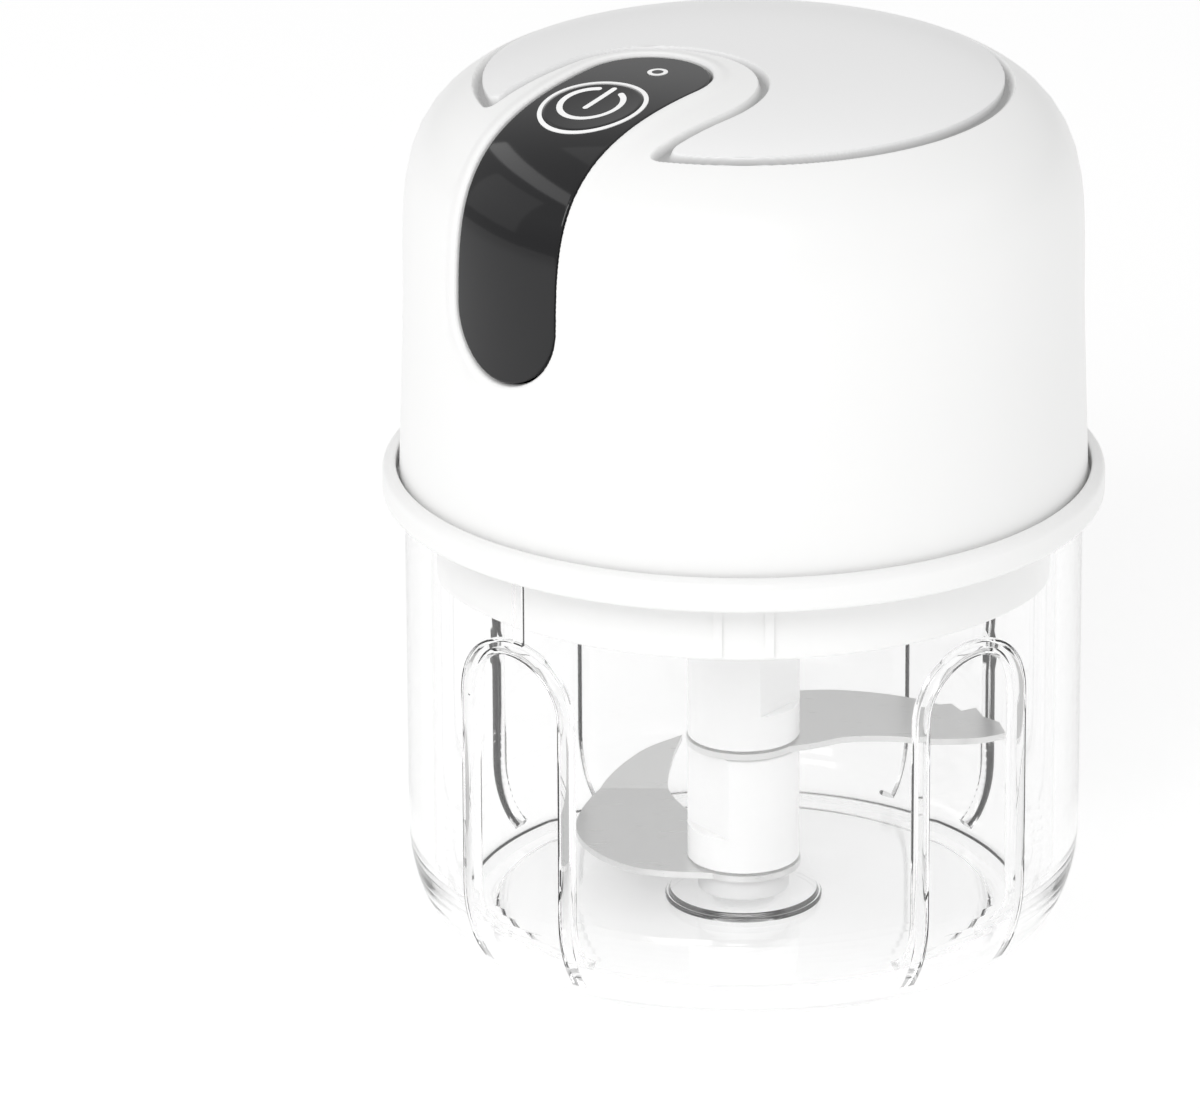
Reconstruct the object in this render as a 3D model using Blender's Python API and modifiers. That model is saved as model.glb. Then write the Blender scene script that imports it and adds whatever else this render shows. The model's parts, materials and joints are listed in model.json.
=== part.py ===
"""Rechargeable mini food processor: clear bowl, two-level blade set, lid collar, domed motor head.

Metres, +Z up. The origin is the centre of the bowl's underside, and the front faces -Y.
"""

import math

import bmesh
import bpy
from mathutils import Matrix, Vector

# Clearances
GAP = 0.0003
RUNNING = 0.00006
BUTTON_TRAVEL = 0.0008
PIN_TRAVEL = 0.0015

# Bowl
BOWL_RADIUS = 0.04695
BOWL_HEIGHT = 0.0617
BOWL_WALL = 0.0035
BOWL_FLOOR = 0.0018
BOWL_CORNER_WIDTH = 0.0070
BOWL_CORNER_HEIGHT = 0.0140
BOWL_INNER_CORNER_WIDTH = 0.0084
BOWL_INNER_CORNER_HEIGHT = 0.0110
FOOT_INNER_RADIUS = 0.0350
FOOT_HEIGHT = 0.0005
RIM_ROUND = 0.0004
BOSS_RADIUS = 0.0110
BOSS_STEP = 0.00055
POST_RADIUS = 0.0040
POST_HEIGHT = 0.0110
PIN_RADIUS = 0.0019
PIN_SOCKET_DEPTH = 0.0110
ARCH_HALF_SPAN = 0.0091
ARCH_CENTRE_DROP = 0.0206
ARCH_BEAD = 0.0012
ARCH_INSET = 0.0006
ARCH_AZIMUTHS = (45, 135, 225, 315)
STOP_RIB_AZIMUTHS = (47, 227)
STOP_RIB_WIDTH = 0.0015
STOP_RIB_PROUD = 0.0005

# Blade set
BLADE_CLEARANCE = 0.0062
BLADE_THICKNESS = 0.0009
LOWER_BLADE_RISE = 0.0037
UPPER_BLADE_RISE = 0.0220
LOWER_BLADE_AZIMUTH = 104
TIP_BEND_START = 0.675
TIP_BEND_AZIMUTH = -14
TIP_BEND_ANGLE = 20
CORE_RADIUS = 0.0056
CORE_FOOT_RADIUS = 0.0064
CORE_FOOT_HEIGHT = 0.0031
SPACER_RADIUS = 0.00785
SPACER_TOP_CLEARANCE = 0.0008
FLAT_DEPTH = 0.00155
LOWER_FLAT_AZIMUTH = -142
UPPER_FLAT_AZIMUTH = -36
LOWER_FLAT_HEIGHT = 0.0118
UPPER_FLAT_RISE = 0.0050
BUSH_WALL = 0.0012
BUSH_START = 0.0132
BUSH_TOP_SPACE = 0.0039
PIN_TOP_SPACE = 0.0011
HUB_WEB = 0.0070
HEX_SOCKET_DEPTH = 0.0065

# Lid collar
COLLAR_OVERHANG = 0.00305
COLLAR_HEIGHT = 0.0047
LID_PLATE = 0.0020
LIP_CLEARANCE = 0.00044
SKIRT_CLEARANCE = 0.00085
SKIRT_WALL = 0.0016
SKIRT_DEPTH = 0.0090
LUG_PROUD = 0.00045
LUG_WIDTH = 0.0012
LUG_OFFSET = 0.0034
GASKET_WIDTH = 0.0014
GASKET_HEIGHT = 0.0006
LID_TUBE_DEPTH = 0.0037
LID_TUBE_WALL = 0.0020
LID_BORE_CLEARANCE = 0.0006

# Dome of the motor head
HOUSING_OVERHANG = 0.00071
HOUSING_TAPER = 0.00086
HOUSING_WALL_HEIGHT = 0.0263
SHOULDER_HEIGHT = 0.0347
CROWN_POWER = 3.3
SIDE_POWER = 4.5
HOUSING_WALL = 0.0024

# Control panel: a pill shape that runs over the shoulder
PANEL_AZIMUTH = -130.6
PANEL_OFFSET = -0.00284
PANEL_HALF_WIDTH = 0.00925
PANEL_END_REACH = 0.01765
PANEL_FOOT_DROP = 0.02695
PANEL_DEPTH = 0.0010
SIDE_MARGIN = 0.00005

# Top panel: a disc less the tongue of dome round the control panel
TOP_PANEL_INSET = 0.0111
GROOVE_WIDTH = 0.0012
TOP_PANEL_DEPTH = 0.0012
TONGUE_AZIMUTH = -139
TONGUE_RADIUS = 0.0152
TONGUE_REACH = 0.0193
TONGUE_OFFSET = -0.0006

# Button and indicator
BUTTON_REACH = 0.0279
BUTTON_RADIUS = 0.00675
LIGHT_RING_WIDTH = 0.0005
DISH_DEPTH = 0.0007
DISH_RADIUS = 0.0060
BUTTON_FLANGE_PROUD = 0.00115
BUTTON_FLANGE_TOP = 0.0040
BUTTON_FLANGE = 0.0007
STEM_RADIUS = 0.0016
STEM_END = 0.0062
SWITCH_SIZE = 0.0060
SWITCH_HEIGHT = 0.0030
BOARD_THICKNESS = 0.0012
BOARD_LENGTH = 0.0265
BOARD_WIDTH = 0.0170
BOARD_SHIFT = -0.0038
INDICATOR_REACH = 0.01456
INDICATOR_RADIUS = 0.00135

# Base plate and screws
BASE_PLATE = 0.0032
SCREW_AZIMUTHS = (30, 150, 270)
SCREW_BOSS_BITE = 0.00024
SCREW_BOSS_RADIUS = 0.0042
SCREW_BOSS_HEIGHT = 0.0125
SCREW_RADIUS = 0.0010
SCREW_HEAD_RADIUS = 0.0023
SCREW_HEAD_HEIGHT = 0.0014
SCREW_LENGTH = 0.0110
SCREW_HEAD_SINK = 0.0003

# Gear train
MODULE = 0.0006
SUN_TEETH = 12
PLANET_TEETH = 18
RING_TEETH = 48
PLANET_AZIMUTHS = (90, 210, 330)
GEARBOX_WALL = 0.00185
GEARBOX_HEIGHT = 0.0115
CARRIER_LIFT = 0.0006
CARRIER_THICKNESS = 0.0020
CARRIER_MARGIN = 0.0035
PLANET_WIDTH = 0.0069
PLANET_PIN_RADIUS = 0.0012
OUTPUT_RADIUS = 0.0025
OUTPUT_BUSH_RADIUS = 0.0050
SEAL_HEIGHT = 0.0012
COUPLING_RADIUS = 0.0044
COUPLING_CLEARANCE = 0.0004
COUPLING_LENGTH = 0.0052

# Motor
MOTOR_RADIUS = 0.01385
MOTOR_HEADROOM = 0.0295
MOTOR_NOSE_RADIUS = 0.0030
MOTOR_SHAFT_RADIUS = 0.0010
MOTOR_SHAFT_SOCKET = 0.0050
LEAD_RADIUS = 0.0006

# Battery
CELL_RADIUS = 0.0091
CELL_HEADROOM = 0.0110
CELL_SINK = 0.0012
CELL_SPACE = 0.0006
CELL_AZIMUTH = -45
CRADLE_HEIGHT = 0.0120
CRADLE_WALL = 0.0015

# Charging port
PORT_HEIGHT = 0.0100
PORT_SLOT_WIDTH = 0.0104
PORT_SLOT_HEIGHT = 0.0046
COVER_WIDTH = 0.0150
COVER_HEIGHT = 0.0090
COVER_THICKNESS = 0.0013
COVER_PLUG_DEPTH = 0.0009
COVER_PLUG_CLEARANCE = 0.0007
COVER_RECESS = 0.0010
PORT_PAD = 0.0018
PORT_PAD_MARGIN = 0.0012
SOCKET_LENGTH = 0.0073
CHARGE_BOARD_HEIGHT = 0.0160

# Safety switch
PIN_CIRCLE_INSET = 0.01466
SAFETY_PIN_RADIUS = 0.0018
SAFETY_PIN_LENGTH = 0.0082
SAFETY_FLANGE_RADIUS = 0.0032
SPRING_WIRE = 0.00035
SPRING_RADIUS = 0.0025
SPRING_TURNS = 5
SAFETY_SWITCH_LENGTH = 0.0090
SAFETY_SWITCH_WIDTH = 0.0064
SAFETY_SWITCH_HEIGHT = 0.0065
BRACKET_THICKNESS = 0.0020

# Sizes that follow from those above
BOWL_INNER_RADIUS = BOWL_RADIUS - BOWL_WALL
BLADE_REACH = BOWL_INNER_RADIUS - BLADE_CLEARANCE
COLLAR_RADIUS = BOWL_RADIUS + COLLAR_OVERHANG
HOUSING_RADIUS = BOWL_RADIUS + HOUSING_OVERHANG
SHOULDER_RADIUS = HOUSING_RADIUS - HOUSING_TAPER
TOP_PANEL_RADIUS = SHOULDER_RADIUS - TOP_PANEL_INSET
HEAD_HEIGHT = HOUSING_WALL_HEIGHT + SHOULDER_HEIGHT
MOTOR_LENGTH = HEAD_HEIGHT - MOTOR_HEADROOM
CELL_LENGTH = HEAD_HEIGHT - CELL_HEADROOM
ADDENDUM = MODULE * 5 / 6
DEDENDUM = MODULE * 5 / 4
TOOTH_HALF_ROOT = MODULE * 0.7
TOOTH_HALF_TIP = MODULE * 0.3
SUN_RADIUS = MODULE * SUN_TEETH / 2
PLANET_RADIUS = MODULE * PLANET_TEETH / 2
RING_RADIUS = MODULE * RING_TEETH / 2
PLANET_CIRCLE = SUN_RADIUS + PLANET_RADIUS
CARRIER_RADIUS = PLANET_CIRCLE + CARRIER_MARGIN
GEARBOX_RADIUS = RING_RADIUS + DEDENDUM + GEARBOX_WALL
BUTTON_FLANGE_RADIUS = BUTTON_RADIUS + BUTTON_FLANGE_PROUD
CELL_CIRCLE = GEARBOX_RADIUS + CELL_SPACE + CRADLE_WALL + GAP + CELL_RADIUS
SCREW_CIRCLE = HOUSING_RADIUS - HOUSING_WALL - SCREW_BOSS_RADIUS + SCREW_BOSS_BITE
PIN_CIRCLE = HOUSING_RADIUS - PIN_CIRCLE_INSET
COVER_SEAT = HOUSING_RADIUS - COVER_THICKNESS - GAP - COVER_RECESS
BOSS_TOP = BOWL_FLOOR + 2 * BOSS_STEP
CORE_BASE = BOSS_TOP + GAP
LOWER_BLADE_Z = BOSS_TOP + LOWER_BLADE_RISE
UPPER_BLADE_Z = BOSS_TOP + UPPER_BLADE_RISE
COLLAR_BASE = BOWL_HEIGHT + GAP
LID_TOP = COLLAR_BASE + LID_PLATE
HEAD_BASE = LID_TOP + GAP
SHOULDER_BASE = HEAD_BASE + HOUSING_WALL_HEIGHT
HEAD_TOP = SHOULDER_BASE + SHOULDER_HEIGHT
BASE_PLATE_TOP = HEAD_BASE + BASE_PLATE
GEARBOX_BASE = BASE_PLATE_TOP + GAP
CARRIER_BASE = GEARBOX_BASE + CARRIER_LIFT
PLANET_BASE = CARRIER_BASE + CARRIER_THICKNESS + GAP
MOTOR_BASE = GEARBOX_BASE + GEARBOX_HEIGHT + GAP
CORE_TOP = HEAD_BASE - 0.0008
CORE_BORE_TOP = CORE_TOP - HEX_SOCKET_DEPTH - HUB_WEB
POST_TOP = BOSS_TOP + POST_HEIGHT
TUBE_BASE = COLLAR_BASE - LID_TUBE_DEPTH
LID_BORE = CORE_RADIUS + LID_BORE_CLEARANCE

ROUND = 40
SMALL_ROUND = 24

WHITE = ("white_plastic", (0.90, 0.90, 0.89), 0.32, 0.0)
PANEL_WHITE = ("panel_white_plastic", (0.84, 0.84, 0.84), 0.30, 0.0)
CLEAR = ("clear_plastic", (0.93, 0.95, 0.96), 0.04, 0.0)
MILKY = ("milky_plastic", (0.90, 0.90, 0.90), 0.25, 0.0)
BLACK = ("gloss_black_plastic", (0.035, 0.035, 0.037), 0.10, 0.0)
STEEL = ("blade_steel", (0.62, 0.61, 0.60), 0.28, 1.0)
SHAFT_STEEL = ("shaft_steel", (0.55, 0.55, 0.56), 0.30, 1.0)
BRASS = ("bush_brass", (0.72, 0.55, 0.26), 0.32, 1.0)
GEAR_PLASTIC = ("gear_plastic", (0.82, 0.79, 0.70), 0.45, 0.0)
DARK_PLASTIC = ("dark_plastic", (0.10, 0.10, 0.11), 0.50, 0.0)
SILICONE = ("silicone_rubber", (0.80, 0.80, 0.80), 0.60, 0.0)
CELL_WRAP = ("cell_wrap", (0.10, 0.28, 0.45), 0.40, 0.0)
BOARD_GREEN = ("board_green", (0.05, 0.25, 0.12), 0.50, 0.0)
RED_LEAD = ("red_lead", (0.60, 0.05, 0.04), 0.50, 0.0)
BLACK_LEAD = ("black_lead", (0.03, 0.03, 0.03), 0.50, 0.0)


def clear_scene():
    for old in list(bpy.data.objects):
        bpy.data.objects.remove(old, do_unlink=True)


def collection(name):
    made = bpy.data.collections.new(name)
    bpy.context.scene.collection.children.link(made)
    return made


def material(finish):
    name, colour, roughness, metallic = finish
    made = bpy.data.materials.get(name)
    if made is None:
        made = bpy.data.materials.new(name)
        made.use_nodes = True
        shader = made.node_tree.nodes["Principled BSDF"]
        shader.inputs["Base Color"].default_value = (*colour, 1.0)
        shader.inputs["Roughness"].default_value = roughness
        shader.inputs["Metallic"].default_value = metallic
        shader.inputs["Transmission Weight"].default_value = 1.0 if finish is CLEAR else 0.0
    return made


def add(name, mesh, finish=None, matrix=None):
    """Link a mesh as a part when it has a finish, and as a hidden cutter when it has none."""
    made = bpy.data.objects.new(name, mesh)
    if matrix is not None:
        made.matrix_world = matrix
    if finish is None:
        CUTTERS.objects.link(made)
        made.hide_render = True
        made.display_type = "WIRE"
    else:
        PARTS.objects.link(made)
        mesh.materials.append(material(finish))
        mesh.shade_smooth()
        mesh.set_sharp_from_angle(angle=math.radians(35))
    return made


def turned(name, profile, finish=None, matrix=None, steps=ROUND, closed=False):
    """Turn a profile of (radius, height) points about Z. An open profile starts and ends on the axis."""
    points = [(radius, 0, height) for radius, height in profile]
    edges = [(index, index + 1) for index in range(len(points) - 1)]
    if closed:
        edges.append((len(points) - 1, 0))
    mesh = bpy.data.meshes.new(name)
    mesh.from_pydata(points, edges, [])
    made = add(name, mesh, finish, matrix)
    screw = made.modifiers.new("turn", "SCREW")
    screw.steps = steps
    screw.render_steps = steps
    screw.use_merge_vertices = True
    screw.merge_threshold = 0.00001
    screw.use_smooth_shade = True
    return made


def ring(name, inner, outer, low, high, finish=None, matrix=None, steps=ROUND):
    profile = [(inner, high), (outer, high), (outer, low), (inner, low)]
    return turned(name, profile, finish, matrix, steps, closed=True)


def rod(name, radius, low, high, finish=None, matrix=None, steps=SMALL_ROUND):
    form = bmesh.new()
    middle = Matrix.Translation((0, 0, (low + high) / 2))
    bmesh.ops.create_cone(form, cap_ends=True, segments=steps, radius1=radius, radius2=radius,
                          depth=high - low, matrix=middle)
    return from_bmesh(name, form, finish, matrix)


def block(name, low, high, finish=None, matrix=None):
    form = bmesh.new()
    size = [high[axis] - low[axis] for axis in range(3)]
    middle = [(high[axis] + low[axis]) / 2 for axis in range(3)]
    bmesh.ops.create_cube(form, size=1, matrix=Matrix.Translation(middle) @ Matrix.Diagonal((*size, 1)))
    return from_bmesh(name, form, finish, matrix)


def from_bmesh(name, form, finish, matrix):
    mesh = bpy.data.meshes.new(name)
    form.to_mesh(mesh)
    form.free()
    return add(name, mesh, finish, matrix)


def welded_mesh(curve_object):
    """Make a curve a mesh, with its caps welded on."""
    graph = bpy.context.evaluated_depsgraph_get()
    mesh = bpy.data.meshes.new_from_object(curve_object.evaluated_get(graph))
    bpy.data.objects.remove(curve_object, do_unlink=True)
    form = bmesh.new()
    form.from_mesh(mesh)
    bmesh.ops.remove_doubles(form, verts=form.verts, dist=0.000002)
    form.to_mesh(mesh)
    form.free()
    mesh.materials.clear()
    return mesh


def flat(name, outlines, low, high, finish=None, matrix=None):
    """Extrude flat outlines from low to high. The second and later outlines are holes."""
    curve = bpy.data.curves.new(name, "CURVE")
    curve.dimensions = "2D"
    curve.fill_mode = "BOTH"
    curve.extrude = (high - low) / 2
    for outline in outlines:
        spline = curve.splines.new("POLY")
        spline.points.add(len(outline) - 1)
        for point, (x, y) in zip(spline.points, outline):
            point.co = (x, y, 0, 1)
        spline.use_cyclic_u = True
    made = bpy.data.objects.new(name, curve)
    bpy.context.scene.collection.objects.link(made)
    bpy.context.view_layer.update()
    mesh = welded_mesh(made)
    mesh.transform(Matrix.Translation((0, 0, (low + high) / 2)))
    return add(name, mesh, finish, matrix)


def wire(name, points, radius, finish=None, matrix=None, sides=8):
    """A round bar along a path, mitred where the path turns, so that every facet is flat."""
    path = [Vector(point) for point in points]
    ways = [(after - here).normalized() for here, after in zip(path, path[1:])]
    aside = ways[0].orthogonal().normalized()
    up = ways[0].cross(aside)
    turns = [2 * math.pi * index / sides for index in range(sides)]
    rings = [[path[0] + radius * (aside * math.cos(turn) + up * math.sin(turn)) for turn in turns]]
    for index, way in enumerate(ways):
        corner = path[index + 1]
        mitre = way + ways[min(index + 1, len(ways) - 1)]
        rings.append([place + way * ((corner - place).dot(mitre) / way.dot(mitre)) for place in rings[-1]])
    form = bmesh.new()
    rows = [[form.verts.new(place) for place in ring_places] for ring_places in rings]
    for lower, upper in zip(rows, rows[1:]):
        for index in range(sides):
            after = (index + 1) % sides
            form.faces.new((lower[index], lower[after], upper[after], upper[index]))
    form.faces.new(rows[0][::-1])
    form.faces.new(rows[-1])
    bmesh.ops.recalc_face_normals(form, faces=form.faces)
    return from_bmesh(name, form, finish, matrix)


def combine(target, operation, other):
    boolean = target.modifiers.new(other.name, "BOOLEAN")
    boolean.operation = operation
    boolean.solver = "EXACT"
    boolean.object = other


def cut(target, *others):
    for other in others:
        combine(target, "DIFFERENCE", other)


def join(target, *others):
    for other in others:
        combine(target, "UNION", other)


def keep(target, *others):
    for other in others:
        combine(target, "INTERSECT", other)


def circle(radius, steps=SMALL_ROUND, centre=(0, 0)):
    turns = [2 * math.pi * index / steps for index in range(steps)]
    return [(centre[0] + radius * math.cos(turn), centre[1] + radius * math.sin(turn)) for turn in turns]


def quarter_ellipse(centre, width, height, start, end, steps):
    """Points of an ellipse from one angle to another, in degrees."""
    points = []
    for index in range(steps + 1):
        angle = math.radians(start + (end - start) * index / steps)
        points.append((centre[0] + width * math.cos(angle), centre[1] + height * math.sin(angle)))
    return points


def smooth_path(points, steps):
    """Pass a smooth open curve through points of any dimension."""
    path = [Vector(point) for point in points]
    ends = [2 * path[0] - path[1], *path, 2 * path[-1] - path[-2]]
    found = []
    for index in range(1, len(ends) - 2):
        before, here, after, beyond = ends[index - 1:index + 3]
        for step in range(steps):
            t = step / steps
            found.append(0.5 * (2 * here + (after - before) * t
                                + (2 * before - 5 * here + 4 * after - beyond) * t * t
                                + (3 * here - before - 3 * after + beyond) * t ** 3))
    found.append(path[-1])
    return [tuple(point) for point in found]


def around(azimuth):
    return Matrix.Rotation(math.radians(azimuth), 4, "Z")


def at(radius, azimuth, height=0.0):
    return around(azimuth) @ Matrix.Translation((radius, 0, height))


# Bowl


def inner_corner_centre():
    return (BOWL_INNER_RADIUS - BOWL_INNER_CORNER_WIDTH, BOWL_FLOOR + BOWL_INNER_CORNER_HEIGHT)


def bowl_profile():
    pin_socket = PIN_RADIUS + GAP
    socket_floor = POST_TOP - PIN_SOCKET_DEPTH
    spindle = [
        (0, socket_floor), (pin_socket, socket_floor), (pin_socket, POST_TOP), (POST_RADIUS, POST_TOP),
        (POST_RADIUS, BOSS_TOP), (BOSS_RADIUS - BOSS_STEP, BOSS_TOP),
        (BOSS_RADIUS - BOSS_STEP, BOWL_FLOOR + BOSS_STEP), (BOSS_RADIUS, BOWL_FLOOR + BOSS_STEP),
        (BOSS_RADIUS, BOWL_FLOOR),
    ]
    inside = quarter_ellipse(inner_corner_centre(), BOWL_INNER_CORNER_WIDTH, BOWL_INNER_CORNER_HEIGHT,
                             -90, 0, 5)
    rim = [
        (BOWL_INNER_RADIUS, BOWL_HEIGHT - RIM_ROUND), (BOWL_INNER_RADIUS + RIM_ROUND, BOWL_HEIGHT),
        (BOWL_RADIUS - RIM_ROUND, BOWL_HEIGHT), (BOWL_RADIUS, BOWL_HEIGHT - RIM_ROUND),
    ]
    corner = (BOWL_RADIUS - BOWL_CORNER_WIDTH, BOWL_CORNER_HEIGHT)
    outside = quarter_ellipse(corner, BOWL_CORNER_WIDTH, BOWL_CORNER_HEIGHT, 0, -90, 5)
    foot = [(FOOT_INNER_RADIUS, 0), (FOOT_INNER_RADIUS - FOOT_HEIGHT, FOOT_HEIGHT), (0, FOOT_HEIGHT)]
    return spindle + inside + rim + outside + foot


def arch_path():
    """One arch bead on the wall about azimuth 0: up one leg, over the top and down the other."""
    top = BOWL_HEIGHT - ARCH_CENTRE_DROP
    centre = inner_corner_centre()
    foot = quarter_ellipse(centre, BOWL_INNER_CORNER_WIDTH - ARCH_INSET,
                           BOWL_INNER_CORNER_HEIGHT - ARCH_INSET, -62, 0, 3)
    rising = [(radius, ARCH_HALF_SPAN, height) for radius, height in foot]
    over = [(BOWL_INNER_RADIUS - ARCH_INSET, x, z) for x, z in
            quarter_ellipse((0, top), ARCH_HALF_SPAN, ARCH_HALF_SPAN, 0, 180, 8)]
    falling = [(radius, -across, height) for radius, across, height in reversed(rising)]
    path = []
    for radius, across, height in rising + over + falling:
        turn = across / BOWL_INNER_RADIUS
        path.append((radius * math.cos(turn), radius * math.sin(turn), height))
    return path


def make_bowl():
    bowl = turned("bowl", bowl_profile(), CLEAR)
    for azimuth in ARCH_AZIMUTHS:
        join(bowl, wire(f"arch_{azimuth}", arch_path(), ARCH_BEAD, matrix=around(azimuth)))
    for azimuth in STOP_RIB_AZIMUTHS:
        low = (BOWL_INNER_RADIUS - STOP_RIB_PROUD, -STOP_RIB_WIDTH / 2,
               BOWL_HEIGHT - ARCH_CENTRE_DROP + ARCH_HALF_SPAN)
        high = (BOWL_INNER_RADIUS + BOWL_WALL / 2, STOP_RIB_WIDTH / 2, BOWL_HEIGHT - 2 * RIM_ROUND)
        join(bowl, block(f"stop_rib_{azimuth}", low, high, matrix=around(azimuth)))
    rod("spindle_pin", PIN_RADIUS, POST_TOP - PIN_SOCKET_DEPTH + GAP, CORE_BORE_TOP - PIN_TOP_SPACE,
        SHAFT_STEEL)


# Blade set


def lower_blade_outline():
    leading = smooth_path([(0.054, -0.194), (0.269, -0.013), (0.497, 0.097), (0.726, 0.121),
                           (0.890, 0.065), (1.000, 0.000)], 3)
    back = smooth_path([(1.000, 0.000), (0.946, 0.191), (0.796, 0.379), (0.511, 0.532),
                        (0.245, 0.554), (-0.024, 0.419), (-0.167, 0.108)], 4)
    return leading[:-1] + back


def upper_blade_outline():
    leading = smooth_path([(0.000, -0.194), (0.253, -0.099), (0.387, -0.032), (0.556, -0.024),
                           (0.699, -0.054), (0.879, -0.043), (0.989, 0.005)], 3)
    teeth = [(0.973, 0.118), (0.914, 0.177), (0.892, 0.269), (0.833, 0.237),
             (0.798, 0.312), (0.742, 0.301)]
    back = smooth_path([(0.704, 0.344), (0.530, 0.419), (0.323, 0.457), (0.108, 0.417),
                        (-0.094, 0.263), (-0.177, 0.081)], 4)
    return leading + teeth + back


def blade(name, shares, height, azimuth):
    """Cut a blade from sheet. The outline is in shares of the reach, its tip near azimuth 0."""
    outline = [(x * BLADE_REACH, y * BLADE_REACH) for x, y in shares]
    made = flat(name, [outline], height, height + BLADE_THICKNESS, STEEL, around(azimuth))
    hub_ring = rod(name + "_ring", SPACER_RADIUS, height, height + BLADE_THICKNESS, steps=32)
    hole = rod(name + "_hole", CORE_RADIUS + GAP, height - GAP, height + BLADE_THICKNESS + GAP, steps=32)
    join(made, hub_ring)
    cut(made, hole)
    return made


def bend_tip(made):
    """Fold the sheet up along a line across the blade near its tip."""
    direction = Vector((math.cos(math.radians(TIP_BEND_AZIMUTH)), math.sin(math.radians(TIP_BEND_AZIMUTH)), 0))
    start = TIP_BEND_START * BLADE_REACH
    form = bmesh.new()
    form.from_mesh(made.data)
    geometry = form.verts[:] + form.edges[:] + form.faces[:]
    bmesh.ops.bisect_plane(form, geom=geometry, plane_co=direction * start, plane_no=direction)
    for vertex in form.verts:
        beyond = vertex.co.dot(direction) - start
        if beyond > 0:
            vertex.co.z += beyond * math.tan(math.radians(TIP_BEND_ANGLE))
    form.to_mesh(made.data)
    form.free()


def spacer(name, low, high, flat_azimuth, flat_low, flat_high):
    made = ring(name, CORE_RADIUS + GAP, SPACER_RADIUS, low, high, MILKY, steps=32)
    reach = SPACER_RADIUS - FLAT_DEPTH
    cutter = block(name + "_flat", (reach, -2 * SPACER_RADIUS, flat_low),
                   (2 * SPACER_RADIUS, 2 * SPACER_RADIUS, flat_high), matrix=around(flat_azimuth))
    cut(made, cutter)


def hub_core():
    foot_top = CORE_BASE + CORE_FOOT_HEIGHT
    post_bore = POST_RADIUS + 2 * GAP
    post_bore_top = POST_TOP + 2 * GAP
    bush_bore = PIN_RADIUS + RUNNING + BUSH_WALL + GAP
    profile = [
        (0, CORE_TOP), (CORE_RADIUS, CORE_TOP), (CORE_RADIUS, foot_top), (CORE_FOOT_RADIUS, foot_top),
        (CORE_FOOT_RADIUS, CORE_BASE), (post_bore, CORE_BASE), (post_bore, post_bore_top),
        (bush_bore, post_bore_top), (bush_bore, CORE_BORE_TOP), (0, CORE_BORE_TOP),
    ]
    made = turned("hub_core", profile, MILKY, steps=32)
    socket = circle(COUPLING_RADIUS + COUPLING_CLEARANCE, 6)
    cut(made, flat("hex_socket", [socket], CORE_TOP - HEX_SOCKET_DEPTH, CORE_TOP + GAP))
    ring("hub_bush", PIN_RADIUS + RUNNING, PIN_RADIUS + RUNNING + BUSH_WALL, BOSS_TOP + BUSH_START,
         CORE_BORE_TOP - BUSH_TOP_SPACE, BRASS, steps=SMALL_ROUND)


def make_blade_set():
    hub_core()
    lower = blade("lower_blade", lower_blade_outline(), LOWER_BLADE_Z, LOWER_BLADE_AZIMUTH)
    bend_tip(lower)
    blade("upper_blade", upper_blade_outline(), UPPER_BLADE_Z, 0)
    lower_top = UPPER_BLADE_Z - GAP
    lower_base = LOWER_BLADE_Z + BLADE_THICKNESS + GAP
    spacer("lower_spacer", lower_base, lower_top, LOWER_FLAT_AZIMUTH, lower_top - LOWER_FLAT_HEIGHT,
           lower_top + GAP)
    upper_base = UPPER_BLADE_Z + BLADE_THICKNESS + GAP
    upper_top = TUBE_BASE - SPACER_TOP_CLEARANCE
    spacer("upper_spacer", upper_base, upper_top, UPPER_FLAT_AZIMUTH, upper_base + UPPER_FLAT_RISE,
           upper_top + GAP)


# Lid


def lid_profile():
    lip = HOUSING_RADIUS + LIP_CLEARANCE
    top = COLLAR_BASE + COLLAR_HEIGHT
    skirt = BOWL_INNER_RADIUS - SKIRT_CLEARANCE
    skirt_base = COLLAR_BASE - SKIRT_DEPTH
    gasket = (BOWL_INNER_RADIUS + BOWL_RADIUS) / 2
    groove = GASKET_WIDTH / 2 + GAP
    groove_top = COLLAR_BASE + GASKET_HEIGHT + GAP
    outside = [
        (lip, top - 0.0006), (lip + 0.0005, top - 0.0001), (lip + 0.0010, top),
        (COLLAR_RADIUS - 0.0004, top - 0.0004), (COLLAR_RADIUS, top - 0.0011),
        (COLLAR_RADIUS, COLLAR_BASE + 0.0009), (COLLAR_RADIUS - 0.0003, COLLAR_BASE + 0.0003),
        (COLLAR_RADIUS - 0.0009, COLLAR_BASE),
    ]
    seat = [
        (gasket + groove, COLLAR_BASE), (gasket + groove, groove_top), (gasket - groove, groove_top),
        (gasket - groove, COLLAR_BASE), (skirt, COLLAR_BASE),
    ]
    skirting = [
        (skirt, skirt_base + 0.0004), (skirt - 0.0004, skirt_base),
        (skirt - SKIRT_WALL + 0.0003, skirt_base), (skirt - SKIRT_WALL, skirt_base + 0.0003),
        (skirt - SKIRT_WALL, COLLAR_BASE),
    ]
    tube = [
        (LID_BORE + LID_TUBE_WALL, COLLAR_BASE), (LID_BORE + LID_TUBE_WALL, TUBE_BASE),
        (LID_BORE, TUBE_BASE), (LID_BORE, LID_TOP), (lip, LID_TOP),
    ]
    return outside + seat + skirting + tube


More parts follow.
